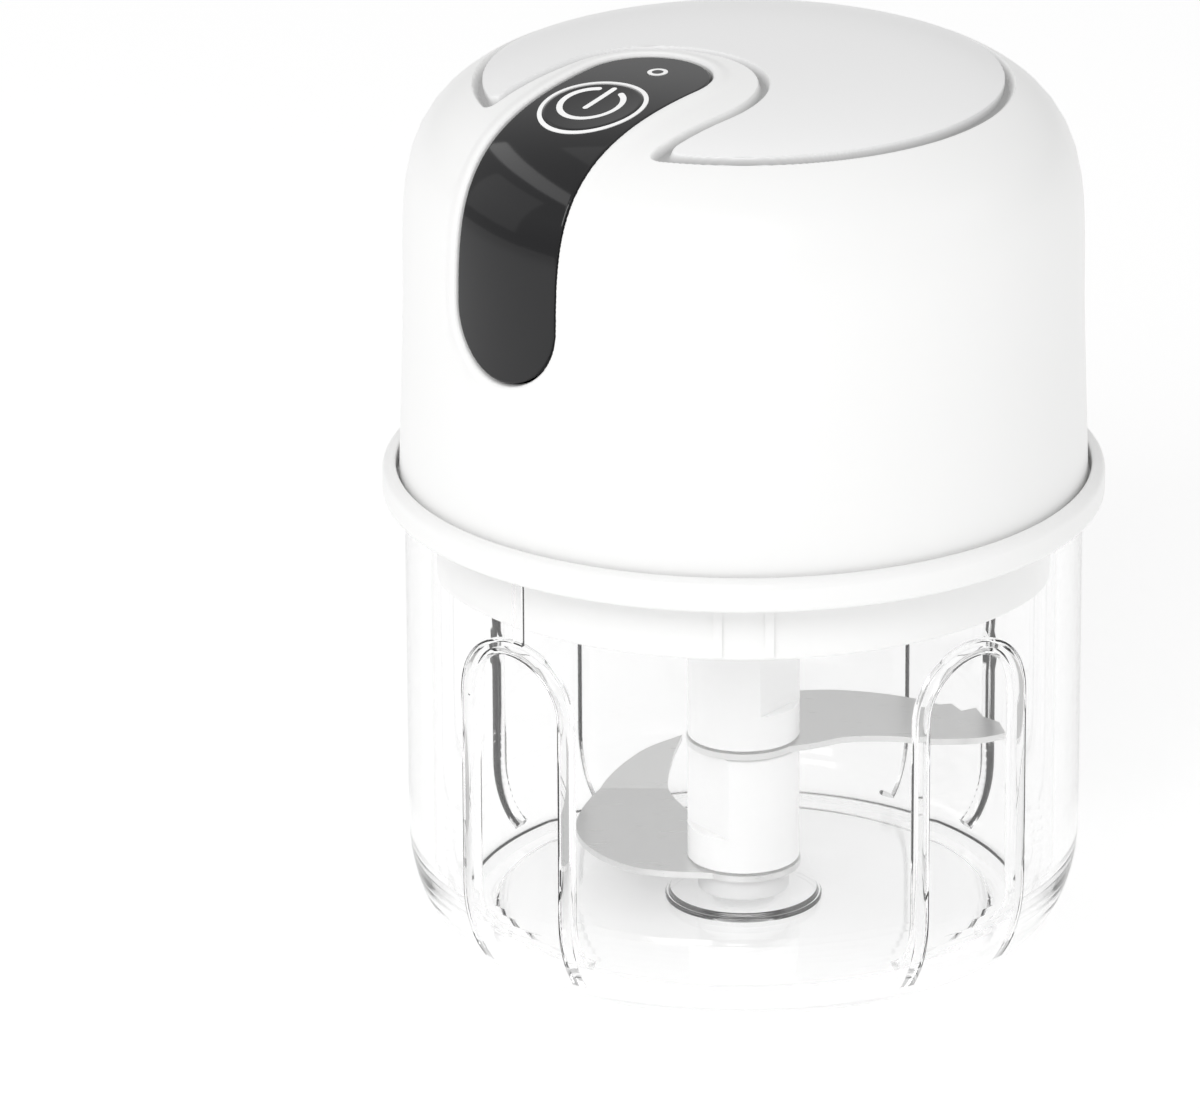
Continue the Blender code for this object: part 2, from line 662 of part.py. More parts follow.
def make_lid():
    lid = turned("lid_collar", lid_profile(), WHITE, closed=True)
    skirt = BOWL_INNER_RADIUS - SKIRT_CLEARANCE
    low = -SKIRT_DEPTH + 0.0006
    for side in (-90, 90):
        for offset in (-LUG_OFFSET, LUG_OFFSET):
            place = around(side) @ Matrix.Translation((0, offset, COLLAR_BASE))
            lug = block(f"lug_{side}_{offset:.4f}", (skirt - SKIRT_WALL / 2, -LUG_WIDTH / 2, low),
                        (skirt + LUG_PROUD, LUG_WIDTH / 2, 0.0005), matrix=place)
            join(lid, lug)
    gasket = (BOWL_INNER_RADIUS + BOWL_RADIUS) / 2
    ring("lid_gasket", gasket - GASKET_WIDTH / 2, gasket + GASKET_WIDTH / 2, COLLAR_BASE,
         COLLAR_BASE + GASKET_HEIGHT, SILICONE)


# Dome surface


def dome_profile(inset=0.0, base=HEAD_BASE, steps=11):
    """The dome's outer side from the axis down to base, moved in by inset."""
    points = []
    for index in range(steps + 1):
        angle = math.pi / 2 * (1 - index / steps)
        radius = (SHOULDER_RADIUS - inset) * max(math.cos(angle), 0) ** (2 / CROWN_POWER)
        height = SHOULDER_BASE + (SHOULDER_HEIGHT - inset) * math.sin(angle) ** (2 / SIDE_POWER)
        points.append((0 if index == 0 else radius, height))
    return points + [(HOUSING_RADIUS - inset, base)]


def crown_height(radius):
    share = 1 - (radius / SHOULDER_RADIUS) ** CROWN_POWER
    return SHOULDER_BASE + SHOULDER_HEIGHT * share ** (1 / SIDE_POWER)


def dome_solid(name, inset):
    base = HEAD_BASE + 0.001
    return turned(name, dome_profile(inset, base) + [(0, base)])


def panel_frame():
    return around(PANEL_AZIMUTH)


def tongue_frame():
    return panel_frame() @ Matrix.Translation((TONGUE_REACH, TONGUE_OFFSET, 0))


def button_frame():
    """Origin on the dome at the button's centre, Z along the dome's normal, X outward along the panel."""
    centre = panel_frame() @ Vector((BUTTON_REACH, PANEL_OFFSET, 0))
    radius = centre.xy.length
    step = 0.0005
    slope = (crown_height(radius + step) - crown_height(radius - step)) / (2 * step)
    outward = Vector((centre.x, centre.y, 0)) / radius
    normal = (Vector((0, 0, 1)) - outward * slope).normalized()
    along = panel_frame() @ Vector((1, 0, 0))
    along = (along - normal * along.dot(normal)).normalized()
    across = normal.cross(along)
    turn = Matrix((along, across, normal)).transposed().to_4x4()
    return Matrix.Translation((centre.x, centre.y, crown_height(radius))) @ turn


def pill(half_width, length):
    """A round end at the origin, open-ended towards +X."""
    end = quarter_ellipse((0, 0), half_width, half_width, 90, 270, 12)
    return end + [(length, -half_width), (length, half_width)]


def panel_prism(name, half_width, finish=None):
    """What lies inside the pill outline seen from above and from the side."""
    reach = 2 * HOUSING_RADIUS
    place = panel_frame() @ Matrix.Translation((PANEL_END_REACH, PANEL_OFFSET, 0))
    above = flat(name, [pill(half_width, reach)], HEAD_BASE, HEAD_TOP + 0.01, finish, place)
    foot = HEAD_TOP - PANEL_FOOT_DROP
    upright = Matrix(((0, 0, 1, 0), (0, -1, 0, 0), (1, 0, 0, 0), (0, 0, 0, 1)))
    side_place = panel_frame() @ Matrix.Translation((0, PANEL_OFFSET, foot)) @ upright
    wider = half_width + SIDE_MARGIN
    side = flat(name + "_side", [pill(wider, HEAD_TOP)], 0.002, reach, matrix=side_place)
    keep(above, side)
    return above


def make_top_panel(housing, skin):
    reach = 2 * HOUSING_RADIUS
    low = SHOULDER_BASE
    high = HEAD_TOP + 0.01
    floor = dome_solid("recess_floor", TOP_PANEL_DEPTH + GAP)
    off_edge = around(90 / ROUND)
    recess = rod("top_recess", TOP_PANEL_RADIUS + GROOVE_WIDTH, low, high, matrix=off_edge, steps=ROUND)
    turn = around(TONGUE_AZIMUTH - PANEL_AZIMUTH)
    tongue = flat("tongue", [pill(TONGUE_RADIUS, reach)], low - 0.01, high + 0.01,
                  matrix=tongue_frame() @ turn)
    cut(recess, tongue, floor)
    cut(housing, recess)
    panel = rod("top_panel", TOP_PANEL_RADIUS, low, high, PANEL_WHITE, off_edge, ROUND)
    wide_tongue = flat("wide_tongue", [pill(TONGUE_RADIUS + GROOVE_WIDTH, reach)], low - 0.01, high + 0.01,
                       matrix=tongue_frame() @ turn)
    under = dome_solid("panel_underside", TOP_PANEL_DEPTH)
    cut(panel, wide_tongue, under)
    keep(panel, skin)


def make_control_panel(housing, skin):
    floor = dome_solid("pocket_floor", PANEL_DEPTH + GAP)
    pocket = panel_prism("panel_pocket", PANEL_HALF_WIDTH + GAP)
    cut(pocket, floor)
    cut(housing, pocket)
    panel = panel_prism("control_panel", PANEL_HALF_WIDTH, BLACK)
    under = dome_solid("control_underside", PANEL_DEPTH)
    cut(panel, under)
    keep(panel, skin)
    ring_outer = BUTTON_RADIUS + GAP + LIGHT_RING_WIDTH
    frame = button_frame()
    cut(panel, rod("ring_hole", ring_outer + GAP, -0.006, 0.006, matrix=frame, steps=32))
    light = ring("button_light_ring", BUTTON_RADIUS + GAP, ring_outer, -0.004, 0.004, MILKY, frame, 32)
    cut(light, under)
    keep(light, skin)
    lens_place = panel_frame() @ Matrix.Translation((INDICATOR_REACH, PANEL_OFFSET, 0))
    lens_hole = rod("lens_hole", INDICATOR_RADIUS + GAP, HEAD_TOP - 0.008, HEAD_TOP + 0.002, matrix=lens_place)
    cut(panel, lens_hole)
    cut(housing, rod("button_hole", BUTTON_RADIUS + GAP, -0.007, 0.004, matrix=frame, steps=32), lens_hole)
    lens = rod("indicator_lens", INDICATOR_RADIUS, HEAD_TOP - 0.0066, HEAD_TOP + 0.002, MILKY, lens_place)
    keep(lens, skin)


def make_button(skin):
    frame = button_frame()
    flange_low = BUTTON_FLANGE_TOP + BUTTON_FLANGE
    profile = [
        (0, 0.003), (BUTTON_RADIUS, 0.003), (BUTTON_RADIUS, -BUTTON_FLANGE_TOP),
        (BUTTON_FLANGE_RADIUS, -BUTTON_FLANGE_TOP), (BUTTON_FLANGE_RADIUS, -flange_low),
        (STEM_RADIUS, -flange_low), (STEM_RADIUS, -STEM_END), (0, -STEM_END),
    ]
    button = turned("power_button", profile, BLACK, frame, 32)
    keep(button, skin)
    curve = (DISH_RADIUS ** 2 + DISH_DEPTH ** 2) / (2 * DISH_DEPTH)
    edge = BUTTON_RADIUS + GAP
    dish = [(0, 0.004), (edge, 0.004)]
    for step in range(5, 0, -1):
        radius = edge * step / 5
        dish.append((radius, curve - DISH_DEPTH - math.sqrt(curve ** 2 - radius ** 2)))
    dish.append((0, -DISH_DEPTH))
    cut(button, turned("button_dish", dish, matrix=frame @ around(4), steps=32))


def switch_levels():
    """Top of the tactile switch and of the board, below the button's surface."""
    switch_top = -(STEM_END + BUTTON_TRAVEL + 0.00015)
    board_top = switch_top - SWITCH_HEIGHT - GAP
    return switch_top, board_top


def make_electronics(housing):
    frame = button_frame()
    switch_top, board_top = switch_levels()
    half = SWITCH_SIZE / 2
    block("tactile_switch", (-half, -half, switch_top - SWITCH_HEIGHT), (half, half, switch_top),
          DARK_PLASTIC, frame)
    low = (BOARD_SHIFT - BOARD_LENGTH / 2, -BOARD_WIDTH / 2, board_top - BOARD_THICKNESS)
    high = (BOARD_SHIFT + BOARD_LENGTH / 2, BOARD_WIDTH / 2, board_top)
    block("control_board", low, high, BOARD_GREEN, frame)
    led = 0.0008
    led_reach = INDICATOR_REACH - BUTTON_REACH
    block("indicator_led", (led_reach - led, -led, board_top + GAP), (led_reach + led, led, board_top + 0.0012),
          MILKY, frame)
    for along in (low[0] + 0.0022, high[0] - 0.0022):
        for across in (-BOARD_WIDTH / 2 + 0.0020, BOARD_WIDTH / 2 - 0.0020):
            place = frame @ Matrix.Translation((along, across, 0))
            join(housing, rod(f"board_post_{along:.4f}_{across:.4f}", 0.0013, board_top + GAP, -0.0029,
                              matrix=place, steps=12))
    start_height = MOTOR_BASE + MOTOR_LENGTH + GAP
    for name, side, finish in (("motor_lead_red", 1, RED_LEAD), ("motor_lead_black", -1, BLACK_LEAD)):
        start = panel_frame() @ Vector((-0.004, 0.006 * side, start_height))
        end = frame @ Vector((low[0] + 0.003, 0.003 * side, board_top - BOARD_THICKNESS - GAP))
        rise = Vector((0, 0, 0.0015))
        route = [start, start + rise, (start + end) / 2, end - rise, end]
        wire(name, smooth_path([tuple(point) for point in route], 4), LEAD_RADIUS, finish)


# Motor head


def screw_place(azimuth):
    return at(SCREW_CIRCLE, azimuth)


def make_housing():
    outer = dome_profile()
    inner = dome_profile(HOUSING_WALL)
    housing = turned("motor_housing", outer + inner[::-1], WHITE)
    boss_base = BASE_PLATE_TOP + GAP
    for azimuth in SCREW_AZIMUTHS:
        place = screw_place(azimuth)
        join(housing, rod(f"screw_boss_{azimuth}", SCREW_BOSS_RADIUS, boss_base, boss_base + SCREW_BOSS_HEIGHT,
                          matrix=place, steps=16))
    return housing


def finish_housing(housing):
    boss_base = BASE_PLATE_TOP + GAP
    for azimuth in SCREW_AZIMUTHS:
        place = screw_place(azimuth)
        cut(housing, rod(f"pilot_{azimuth}", SCREW_RADIUS + GAP, boss_base - GAP,
                         HEAD_BASE + SCREW_HEAD_SINK + SCREW_LENGTH + 2 * GAP, matrix=place, steps=12))
    level = HEAD_BASE + PORT_HEIGHT
    slot = block("port_slot", (-PORT_SLOT_WIDTH / 2, 0.030, level - PORT_SLOT_HEIGHT / 2),
                 (PORT_SLOT_WIDTH / 2, 0.060, level + PORT_SLOT_HEIGHT / 2))
    across = COVER_WIDTH / 2 + PORT_PAD_MARGIN
    up = COVER_HEIGHT / 2 + PORT_PAD_MARGIN
    pad = block("port_pad", (-across, COVER_SEAT - PORT_PAD, level - up),
                (across, COVER_SEAT + 0.0002, level + up))
    join(housing, pad)
    recess = block("cover_recess", (-COVER_WIDTH / 2 - GAP, COVER_SEAT, level - COVER_HEIGHT / 2 - GAP),
                   (COVER_WIDTH / 2 + GAP, 0.060, level + COVER_HEIGHT / 2 + GAP))
    cut(housing, slot, recess)


def make_base_plate():
    radius = HOUSING_RADIUS - HOUSING_WALL - GAP
    plate = ring("base_plate", OUTPUT_BUSH_RADIUS + GAP, radius, HEAD_BASE, BASE_PLATE_TOP, WHITE)
    for index, azimuth in enumerate(SCREW_AZIMUTHS, 1):
        place = screw_place(azimuth)
        shelf = HEAD_BASE + SCREW_HEAD_SINK + SCREW_HEAD_HEIGHT + GAP
        way = [
            (0, BASE_PLATE_TOP + GAP), (SCREW_RADIUS + GAP, BASE_PLATE_TOP + GAP), (SCREW_RADIUS + GAP, shelf),
            (SCREW_HEAD_RADIUS + GAP, shelf), (SCREW_HEAD_RADIUS + GAP, HEAD_BASE - GAP), (0, HEAD_BASE - GAP),
        ]
        cut(plate, turned(f"screw_way_{azimuth}", way, matrix=place, steps=12))
        low = HEAD_BASE + SCREW_HEAD_SINK
        profile = [
            (0, low + SCREW_LENGTH), (SCREW_RADIUS, low + SCREW_LENGTH),
            (SCREW_RADIUS, low + SCREW_HEAD_HEIGHT), (SCREW_HEAD_RADIUS, low + SCREW_HEAD_HEIGHT),
            (SCREW_HEAD_RADIUS, low), (0, low),
        ]
        turned(f"base_screw_{index}", profile, SHAFT_STEEL, place, 12)
    cell_place = at(CELL_CIRCLE, CELL_AZIMUTH)
    cut(plate, rod("cell_recess", CELL_RADIUS + GAP, BASE_PLATE_TOP - CELL_SINK, BASE_PLATE_TOP + GAP,
                   matrix=cell_place, steps=32))
    pin_place = at(PIN_CIRCLE, 180)
    cut(plate, rod("safety_pin_way", SAFETY_PIN_RADIUS + RUNNING, HEAD_BASE - GAP, BASE_PLATE_TOP + GAP,
                   matrix=pin_place))
    switch_base = safety_levels()[3]
    bracket_in = SAFETY_SWITCH_LENGTH / 2 + GAP
    join(plate, block("switch_bracket", (bracket_in, -SAFETY_SWITCH_WIDTH / 2, BASE_PLATE_TOP - 0.001),
                      (bracket_in + BRACKET_THICKNESS, SAFETY_SWITCH_WIDTH / 2,
                       switch_base + SAFETY_SWITCH_HEIGHT), matrix=pin_place))


def make_output():
    seal_base = HEAD_BASE + 0.0001
    bore = OUTPUT_RADIUS + RUNNING
    ring("shaft_seal", bore, OUTPUT_BUSH_RADIUS, seal_base, seal_base + SEAL_HEIGHT, SILICONE, steps=SMALL_ROUND)
    ring("output_bush", bore, OUTPUT_BUSH_RADIUS, seal_base + SEAL_HEIGHT + GAP, BASE_PLATE_TOP, BRASS,
         steps=SMALL_ROUND)
    coupling_top = HEAD_BASE - 2 * GAP
    flat("drive_coupling", [circle(COUPLING_RADIUS, 6), circle(OUTPUT_RADIUS + GAP, 16)],
         coupling_top - COUPLING_LENGTH, coupling_top, DARK_PLASTIC)


def gear_outline(teeth, root, tip):
    """Slim straight-sided teeth, the first one centred on +X."""
    points = []
    for index in range(teeth):
        middle = 2 * math.pi * index / teeth
        for radius, half, side in ((root, TOOTH_HALF_ROOT, -1), (tip, TOOTH_HALF_TIP, -1),
                                   (tip, TOOTH_HALF_TIP, 1), (root, TOOTH_HALF_ROOT, 1)):
            angle = middle + side * half / radius
            points.append((radius * math.cos(angle), radius * math.sin(angle)))
    return points


def make_gears():
    shaft_hole = circle(MOTOR_SHAFT_RADIUS + GAP, 16)
    sun_outline = gear_outline(SUN_TEETH, SUN_RADIUS - DEDENDUM, SUN_RADIUS + ADDENDUM)
    flat("sun_pinion", [sun_outline, shaft_hole], PLANET_BASE, MOTOR_BASE - 0.0011, SHAFT_STEEL)
    rod("motor_shaft", MOTOR_SHAFT_RADIUS, PLANET_BASE, MOTOR_BASE + MOTOR_SHAFT_SOCKET - GAP, SHAFT_STEEL)
    ring_outline = gear_outline(RING_TEETH, RING_RADIUS + DEDENDUM, RING_RADIUS - ADDENDUM - 0.00005)
    flat("gearbox_ring", [circle(GEARBOX_RADIUS, ROUND), ring_outline], GEARBOX_BASE,
         GEARBOX_BASE + GEARBOX_HEIGHT, DARK_PLASTIC)
    planet_outline = gear_outline(PLANET_TEETH, PLANET_RADIUS - DEDENDUM + 0.00005, PLANET_RADIUS + ADDENDUM)
    planet_hole = circle(PLANET_PIN_RADIUS + RUNNING, SMALL_ROUND)
    for index, azimuth in enumerate(PLANET_AZIMUTHS, 1):
        half_pitch = 180 / PLANET_TEETH
        place = at(PLANET_CIRCLE, azimuth, PLANET_BASE) @ around(half_pitch)
        flat(f"planet_gear_{index}", [planet_outline, planet_hole], 0, PLANET_WIDTH, GEAR_PLASTIC, place)
    disc_top = CARRIER_BASE + CARRIER_THICKNESS
    shaft_end = HEAD_BASE - 2 * GAP - COUPLING_LENGTH
    profile = [
        (0, disc_top), (CARRIER_RADIUS, disc_top), (CARRIER_RADIUS, CARRIER_BASE),
        (OUTPUT_RADIUS, CARRIER_BASE), (OUTPUT_RADIUS, shaft_end), (0, shaft_end),
    ]
    carrier = turned("planet_carrier", profile, SHAFT_STEEL, steps=SMALL_ROUND)
    for azimuth in PLANET_AZIMUTHS:
        join(carrier, rod(f"planet_pin_{azimuth}", PLANET_PIN_RADIUS, disc_top - 0.001,
                          PLANET_BASE + PLANET_WIDTH + GAP, matrix=at(PLANET_CIRCLE, azimuth), steps=16))


def make_motor():
    top = MOTOR_BASE + MOTOR_LENGTH
    bore = MOTOR_SHAFT_RADIUS + RUNNING
    socket = MOTOR_BASE + MOTOR_SHAFT_SOCKET
    profile = [
        (0, top), (MOTOR_RADIUS - 0.001, top), (MOTOR_RADIUS, top - 0.001), (MOTOR_RADIUS, MOTOR_BASE + 0.001),
        (MOTOR_RADIUS - 0.001, MOTOR_BASE), (MOTOR_NOSE_RADIUS, MOTOR_BASE), (MOTOR_NOSE_RADIUS, MOTOR_BASE - 0.0006),
        (bore, MOTOR_BASE - 0.0006), (bore, socket), (0, socket),
    ]
    turned("motor_can", profile, SHAFT_STEEL, steps=SMALL_ROUND)


def make_battery():
    place = at(CELL_CIRCLE, CELL_AZIMUTH)
    low = BASE_PLATE_TOP - CELL_SINK + GAP
    rod("battery_cell", CELL_RADIUS, low, low + CELL_LENGTH, CELL_WRAP, place, 32)
    inner = CELL_RADIUS + GAP
    ring("battery_cradle", inner, inner + CRADLE_WALL, BASE_PLATE_TOP + GAP, BASE_PLATE_TOP + CRADLE_HEIGHT,
         DARK_PLASTIC, place, 32)


# Charging port


def make_port():
    level = HEAD_BASE + PORT_HEIGHT
    half_width = PORT_SLOT_WIDTH / 2 - 0.0005
    half_height = PORT_SLOT_HEIGHT / 2 - 0.0005
    socket_front = COVER_SEAT - COVER_PLUG_DEPTH - GAP
    socket = block("usb_socket", (-half_width, socket_front - SOCKET_LENGTH, level - half_height),
                   (half_width, socket_front, level + half_height), SHAFT_STEEL)
    cut(socket, block("usb_mouth", (-half_width + 0.0006, socket_front - SOCKET_LENGTH + 0.001,
                                    level - half_height + 0.0006),
                      (half_width - 0.0006, socket_front + 0.001, level + half_height - 0.0006)))
    board_face = socket_front - SOCKET_LENGTH - GAP
    block("charge_board", (-0.0070, board_face - BOARD_THICKNESS, level - 0.0065),
          (0.0070, board_face, level - 0.0065 + CHARGE_BOARD_HEIGHT), BOARD_GREEN)
    hinge = Matrix.Translation((0, COVER_SEAT + GAP + COVER_THICKNESS, level - COVER_HEIGHT / 2))
    cover = block("port_cover", (-COVER_WIDTH / 2, -COVER_THICKNESS, 0), (COVER_WIDTH / 2, 0, COVER_HEIGHT),
                  SILICONE, hinge)
    plug_half = PORT_SLOT_WIDTH / 2 - COVER_PLUG_CLEARANCE
    plug_low = (COVER_HEIGHT - PORT_SLOT_HEIGHT) / 2 + COVER_PLUG_CLEARANCE
    join(cover, block("cover_plug", (-plug_half, -COVER_THICKNESS - COVER_PLUG_DEPTH, plug_low),
                      (plug_half, -COVER_THICKNESS / 2, COVER_HEIGHT - plug_low), matrix=hinge))


# Safety switch


def safety_levels():
    """Pin base, flange base, spring base and switch base, going up."""
    pin_base = LID_TOP + GAP
    flange_base = BASE_PLATE_TOP + GAP
    spring_base = flange_base + 0.0010 + SPRING_WIRE + GAP
    switch_base = pin_base + SAFETY_PIN_LENGTH + PIN_TRAVEL + GAP
    return pin_base, flange_base, spring_base, switch_base


def make_safety_switch():
    pin_base, flange_base, spring_base, switch_base = safety_levels()
    place = at(PIN_CIRCLE, 180)
    pin_top = pin_base + SAFETY_PIN_LENGTH
    profile = [
        (0, pin_top), (SAFETY_PIN_RADIUS, pin_top), (SAFETY_PIN_RADIUS, flange_base + 0.0010),
        (SAFETY_FLANGE_RADIUS, flange_base + 0.0010), (SAFETY_FLANGE_RADIUS, flange_base),
        (SAFETY_PIN_RADIUS, flange_base), (SAFETY_PIN_RADIUS, pin_base), (0, pin_base),
    ]
    turned("safety_pin", profile, DARK_PLASTIC, place, SMALL_ROUND)
    spring_top = switch_base - SPRING_WIRE - GAP
    turns = SPRING_TURNS * 10
    coil = []
    for index in range(turns + 1):
        angle = 2 * math.pi * index / 10
        height = spring_base + (spring_top - spring_base) * index / turns
        coil.append((SPRING_RADIUS * math.cos(angle), SPRING_RADIUS * math.sin(angle), height))
    wire("safety_spring", coil, SPRING_WIRE, SHAFT_STEEL, place)
    block("safety_switch", (-SAFETY_SWITCH_LENGTH / 2, -SAFETY_SWITCH_WIDTH / 2, switch_base),
          (SAFETY_SWITCH_LENGTH / 2, SAFETY_SWITCH_WIDTH / 2, switch_base + SAFETY_SWITCH_HEIGHT),
          DARK_PLASTIC, place)


clear_scene()
PARTS = collection("food_processor")
CUTTERS = collection("cutters")
make_bowl()
make_blade_set()
make_lid()
motor_housing = make_housing()
make_electronics(motor_housing)
dome_skin = dome_solid("dome_skin", 0.0)
make_control_panel(motor_housing, dome_skin)
make_top_panel(motor_housing, dome_skin)
finish_housing(motor_housing)
make_button(dome_skin)
make_base_plate()
make_output()
make_gears()
make_motor()
make_battery()
make_port()
make_safety_switch()
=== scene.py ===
"""Studio picture of a rechargeable mini food processor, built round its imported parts.

Shapes are worked out in millimetres and turned into metres when a mesh is made.
"""

import json
import math

import bmesh
import bpy
import numpy as np
from mathutils import Matrix, Quaternion, Vector
from mathutils.geometry import delaunay_2d_cdt


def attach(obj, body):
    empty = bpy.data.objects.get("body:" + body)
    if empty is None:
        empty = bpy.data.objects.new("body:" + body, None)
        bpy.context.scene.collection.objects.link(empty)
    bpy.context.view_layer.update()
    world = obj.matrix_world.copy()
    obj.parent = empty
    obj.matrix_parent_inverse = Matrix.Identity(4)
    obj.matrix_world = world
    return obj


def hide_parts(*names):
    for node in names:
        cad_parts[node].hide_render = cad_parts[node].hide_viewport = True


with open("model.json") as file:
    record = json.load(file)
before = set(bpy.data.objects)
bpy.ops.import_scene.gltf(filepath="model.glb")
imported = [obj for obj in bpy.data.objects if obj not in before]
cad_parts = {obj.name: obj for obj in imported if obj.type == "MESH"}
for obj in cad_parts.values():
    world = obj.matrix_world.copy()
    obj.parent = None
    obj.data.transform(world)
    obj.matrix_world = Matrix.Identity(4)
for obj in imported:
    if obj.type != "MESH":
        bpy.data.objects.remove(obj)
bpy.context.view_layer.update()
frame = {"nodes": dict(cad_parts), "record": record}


# Camera, light and floor.
# A long lens looks down by twenty degrees at the front, with the object right of the middle.
# The floor and the surroundings are pale, and greyer at the horizon, which gives the clear bowl its edges.

RING_LEVEL = 0.062
CAMERA_DISTANCE = 1.300
CAMERA_ELEVATION = 19.95
CAMERA_LENS = 281.6
AIM_LEFT = 0.876
AIM_DOWN = 0.409
FLOOR_GLOW = 0.36
HORIZON_GREY = 0.80
SKY_STRENGTH = 0.66


def link(thing):
    bpy.context.scene.collection.objects.link(thing)
    return thing


def add_camera():
    data = bpy.data.cameras.new("camera")
    data.lens = CAMERA_LENS
    data.sensor_width = 36.0
    camera = link(bpy.data.objects.new("camera", data))
    elevation = math.radians(CAMERA_ELEVATION)
    back = Vector((0, -math.cos(elevation), math.sin(elevation)))
    camera.location = Vector((0, 0, RING_LEVEL)) + CAMERA_DISTANCE * back
    straight = (-back).to_track_quat("-Z", "Y")
    left = Quaternion((0, 1, 0), math.radians(AIM_LEFT))
    down = Quaternion((1, 0, 0), math.radians(-AIM_DOWN))
    camera.rotation_mode = "QUATERNION"
    camera.rotation_quaternion = straight @ left @ down
    bpy.context.scene.camera = camera


def add_area(name, place, aim, width, height, power):
    data = bpy.data.lights.new(name, "AREA")
    data.shape = "RECTANGLE"
    data.size = width
    data.size_y = height
    data.energy = power
    light = link(bpy.data.objects.new(name, data))
    light.location = place
    light.rotation_mode = "QUATERNION"
    light.rotation_quaternion = (Vector(aim) - Vector(place)).to_track_quat("-Z", "Y")


def add_floor():
    """A pale sheet that glows a little, so that the shadow on it stays soft."""
    mesh = bpy.data.meshes.new("floor")
    mesh.from_pydata([(-6, -6, 0), (6, -6, 0), (6, 6, 0), (-6, 6, 0)], [], [(0, 1, 2, 3)])
    floor = link(bpy.data.objects.new("floor", mesh))
    paint = bpy.data.materials.new("floor")
    paint.use_nodes = True
    shader = paint.node_tree.nodes["Principled BSDF"]
    shader.inputs["Base Color"].default_value = (0.76, 0.76, 0.76, 1)
    shader.inputs["Roughness"].default_value = 0.9
    shader.inputs["Specular IOR Level"].default_value = 0.1
    shader.inputs["Emission Color"].default_value = (1, 1, 1, 1)
    shader.inputs["Emission Strength"].default_value = FLOOR_GLOW
    mesh.materials.append(paint)


def add_world():
    world = bpy.data.worlds.new("studio")
    world.use_nodes = True
    nodes = world.node_tree.nodes
    links = world.node_tree.links
    place = nodes.new("ShaderNodeTexCoord")
    split = nodes.new("ShaderNodeSeparateXYZ")
    ramp = nodes.new("ShaderNodeValToRGB")
    ramp.color_ramp.elements[0].position = 0.08
    ramp.color_ramp.elements[0].color = (HORIZON_GREY, HORIZON_GREY, HORIZON_GREY, 1)
    ramp.color_ramp.elements[1].position = 0.32
    ramp.color_ramp.elements[1].color = (1.0, 1.0, 1.0, 1)
    links.new(place.outputs["Generated"], split.inputs["Vector"])
    links.new(split.outputs["Z"], ramp.inputs["Fac"])
    links.new(ramp.outputs["Color"], nodes["Background"].inputs["Color"])
    nodes["Background"].inputs["Strength"].default_value = SKY_STRENGTH
    bpy.context.scene.world = world


add_camera()
add_world()
bpy.context.scene.view_settings.view_transform = "Standard"
bpy.context.scene.view_settings.look = "None"
add_floor()
add_area("top_box", (0.0, 0.2, 1.3), (0, 0, 0.05), 1.2, 1.0, 1.0)
add_area("front_box", (-0.35, -1.2, 0.85), (0, 0, 0.08), 1.0, 0.5, 6.6)
add_area("right_box", (1.2, -0.2, 0.5), (0, 0, 0.08), 0.6, 0.6, 0.6)
add_area("shoulder_strip", (-0.95, 0.10, 0.95), (0, 0, 0.10), 1.5, 0.18, 1.0)
add_area("left_box", (-1.2, 0.1, 0.5), (0, 0, 0.08), 0.6, 0.6, 0.3)


# Bowl: clear moulded plastic with a thick wall, a rounded bottom corner and a spindle post.
# Four arched beads and two stop ribs stand on its inner wall.
# The beads are tubes half sunk in the wall and joined to it, so light bends through one solid.

BOWL_RADIUS = 46.95
BOWL_INNER = 43.40
BOWL_RIM = 61.7
BOWL_FLOOR = 1.8
OUTER_CORNER = (7.0, 14.0)
INNER_CORNER = (8.4, 11.0)
ARCH_SPAN = 9.1
ARCH_LEVEL = 41.1
BEAD = 1.2
BEAD_IN = 0.6


def finish_object(name, mesh, body, paint, angle=35, node=None):
    """Shade, paint and hang one piece on its body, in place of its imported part."""
    made = link(bpy.data.objects.new(name, mesh))
    mesh.materials.clear()
    mesh.materials.append(paint)
    if angle is not None:
        mesh.shade_smooth()
        mesh.set_sharp_from_angle(angle=math.radians(angle))
    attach(made, body)
    if node:
        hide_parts(node)
    return made


def mesh_from(name, points, faces):
    mesh = bpy.data.meshes.new(name)
    mesh.from_pydata([tuple(0.001 * float(value) for value in point) for point in points], [], faces)
    mesh.validate()
    return mesh


def set_outward(mesh):
    form = bmesh.new()
    form.from_mesh(mesh)
    bmesh.ops.remove_doubles(form, verts=form.verts, dist=0.0000005)
    bmesh.ops.recalc_face_normals(form, faces=form.faces)
    form.to_mesh(mesh)
    form.free()
    return mesh


def arc(centre, width, height, start, end, steps):
    turns = np.radians(np.linspace(start, end, steps + 1))
    return [(centre[0] + width * math.cos(turn), centre[1] + height * math.sin(turn)) for turn in turns]


def softened(corners, steps=4):
    """Round the corners of a profile. Each corner is (radius, height, rounding)."""
    found = []
    count = len(corners)
    for index, (x, y, rounding) in enumerate(corners):
        here = Vector((x, y))
        if rounding == 0:
            found.append((x, y))
            continue
        before = Vector(corners[index - 1][:2])
        after = Vector(corners[(index + 1) % count][:2])
        to_before = (before - here).normalized()
        to_after = (after - here).normalized()
        half = to_before.angle(to_after) / 2
        reach = rounding / math.tan(half)
        start = here + to_before * reach
        end = here + to_after * reach
        middle = here + (to_before + to_after).normalized() * (rounding / math.sin(half))
        first = start - middle
        last = end - middle
        turn = first.angle_signed(last)
        for step in range(steps + 1):
            spot = middle + Matrix.Rotation(-turn * step / steps, 2) @ first
            found.append((spot.x, spot.y))
    return found


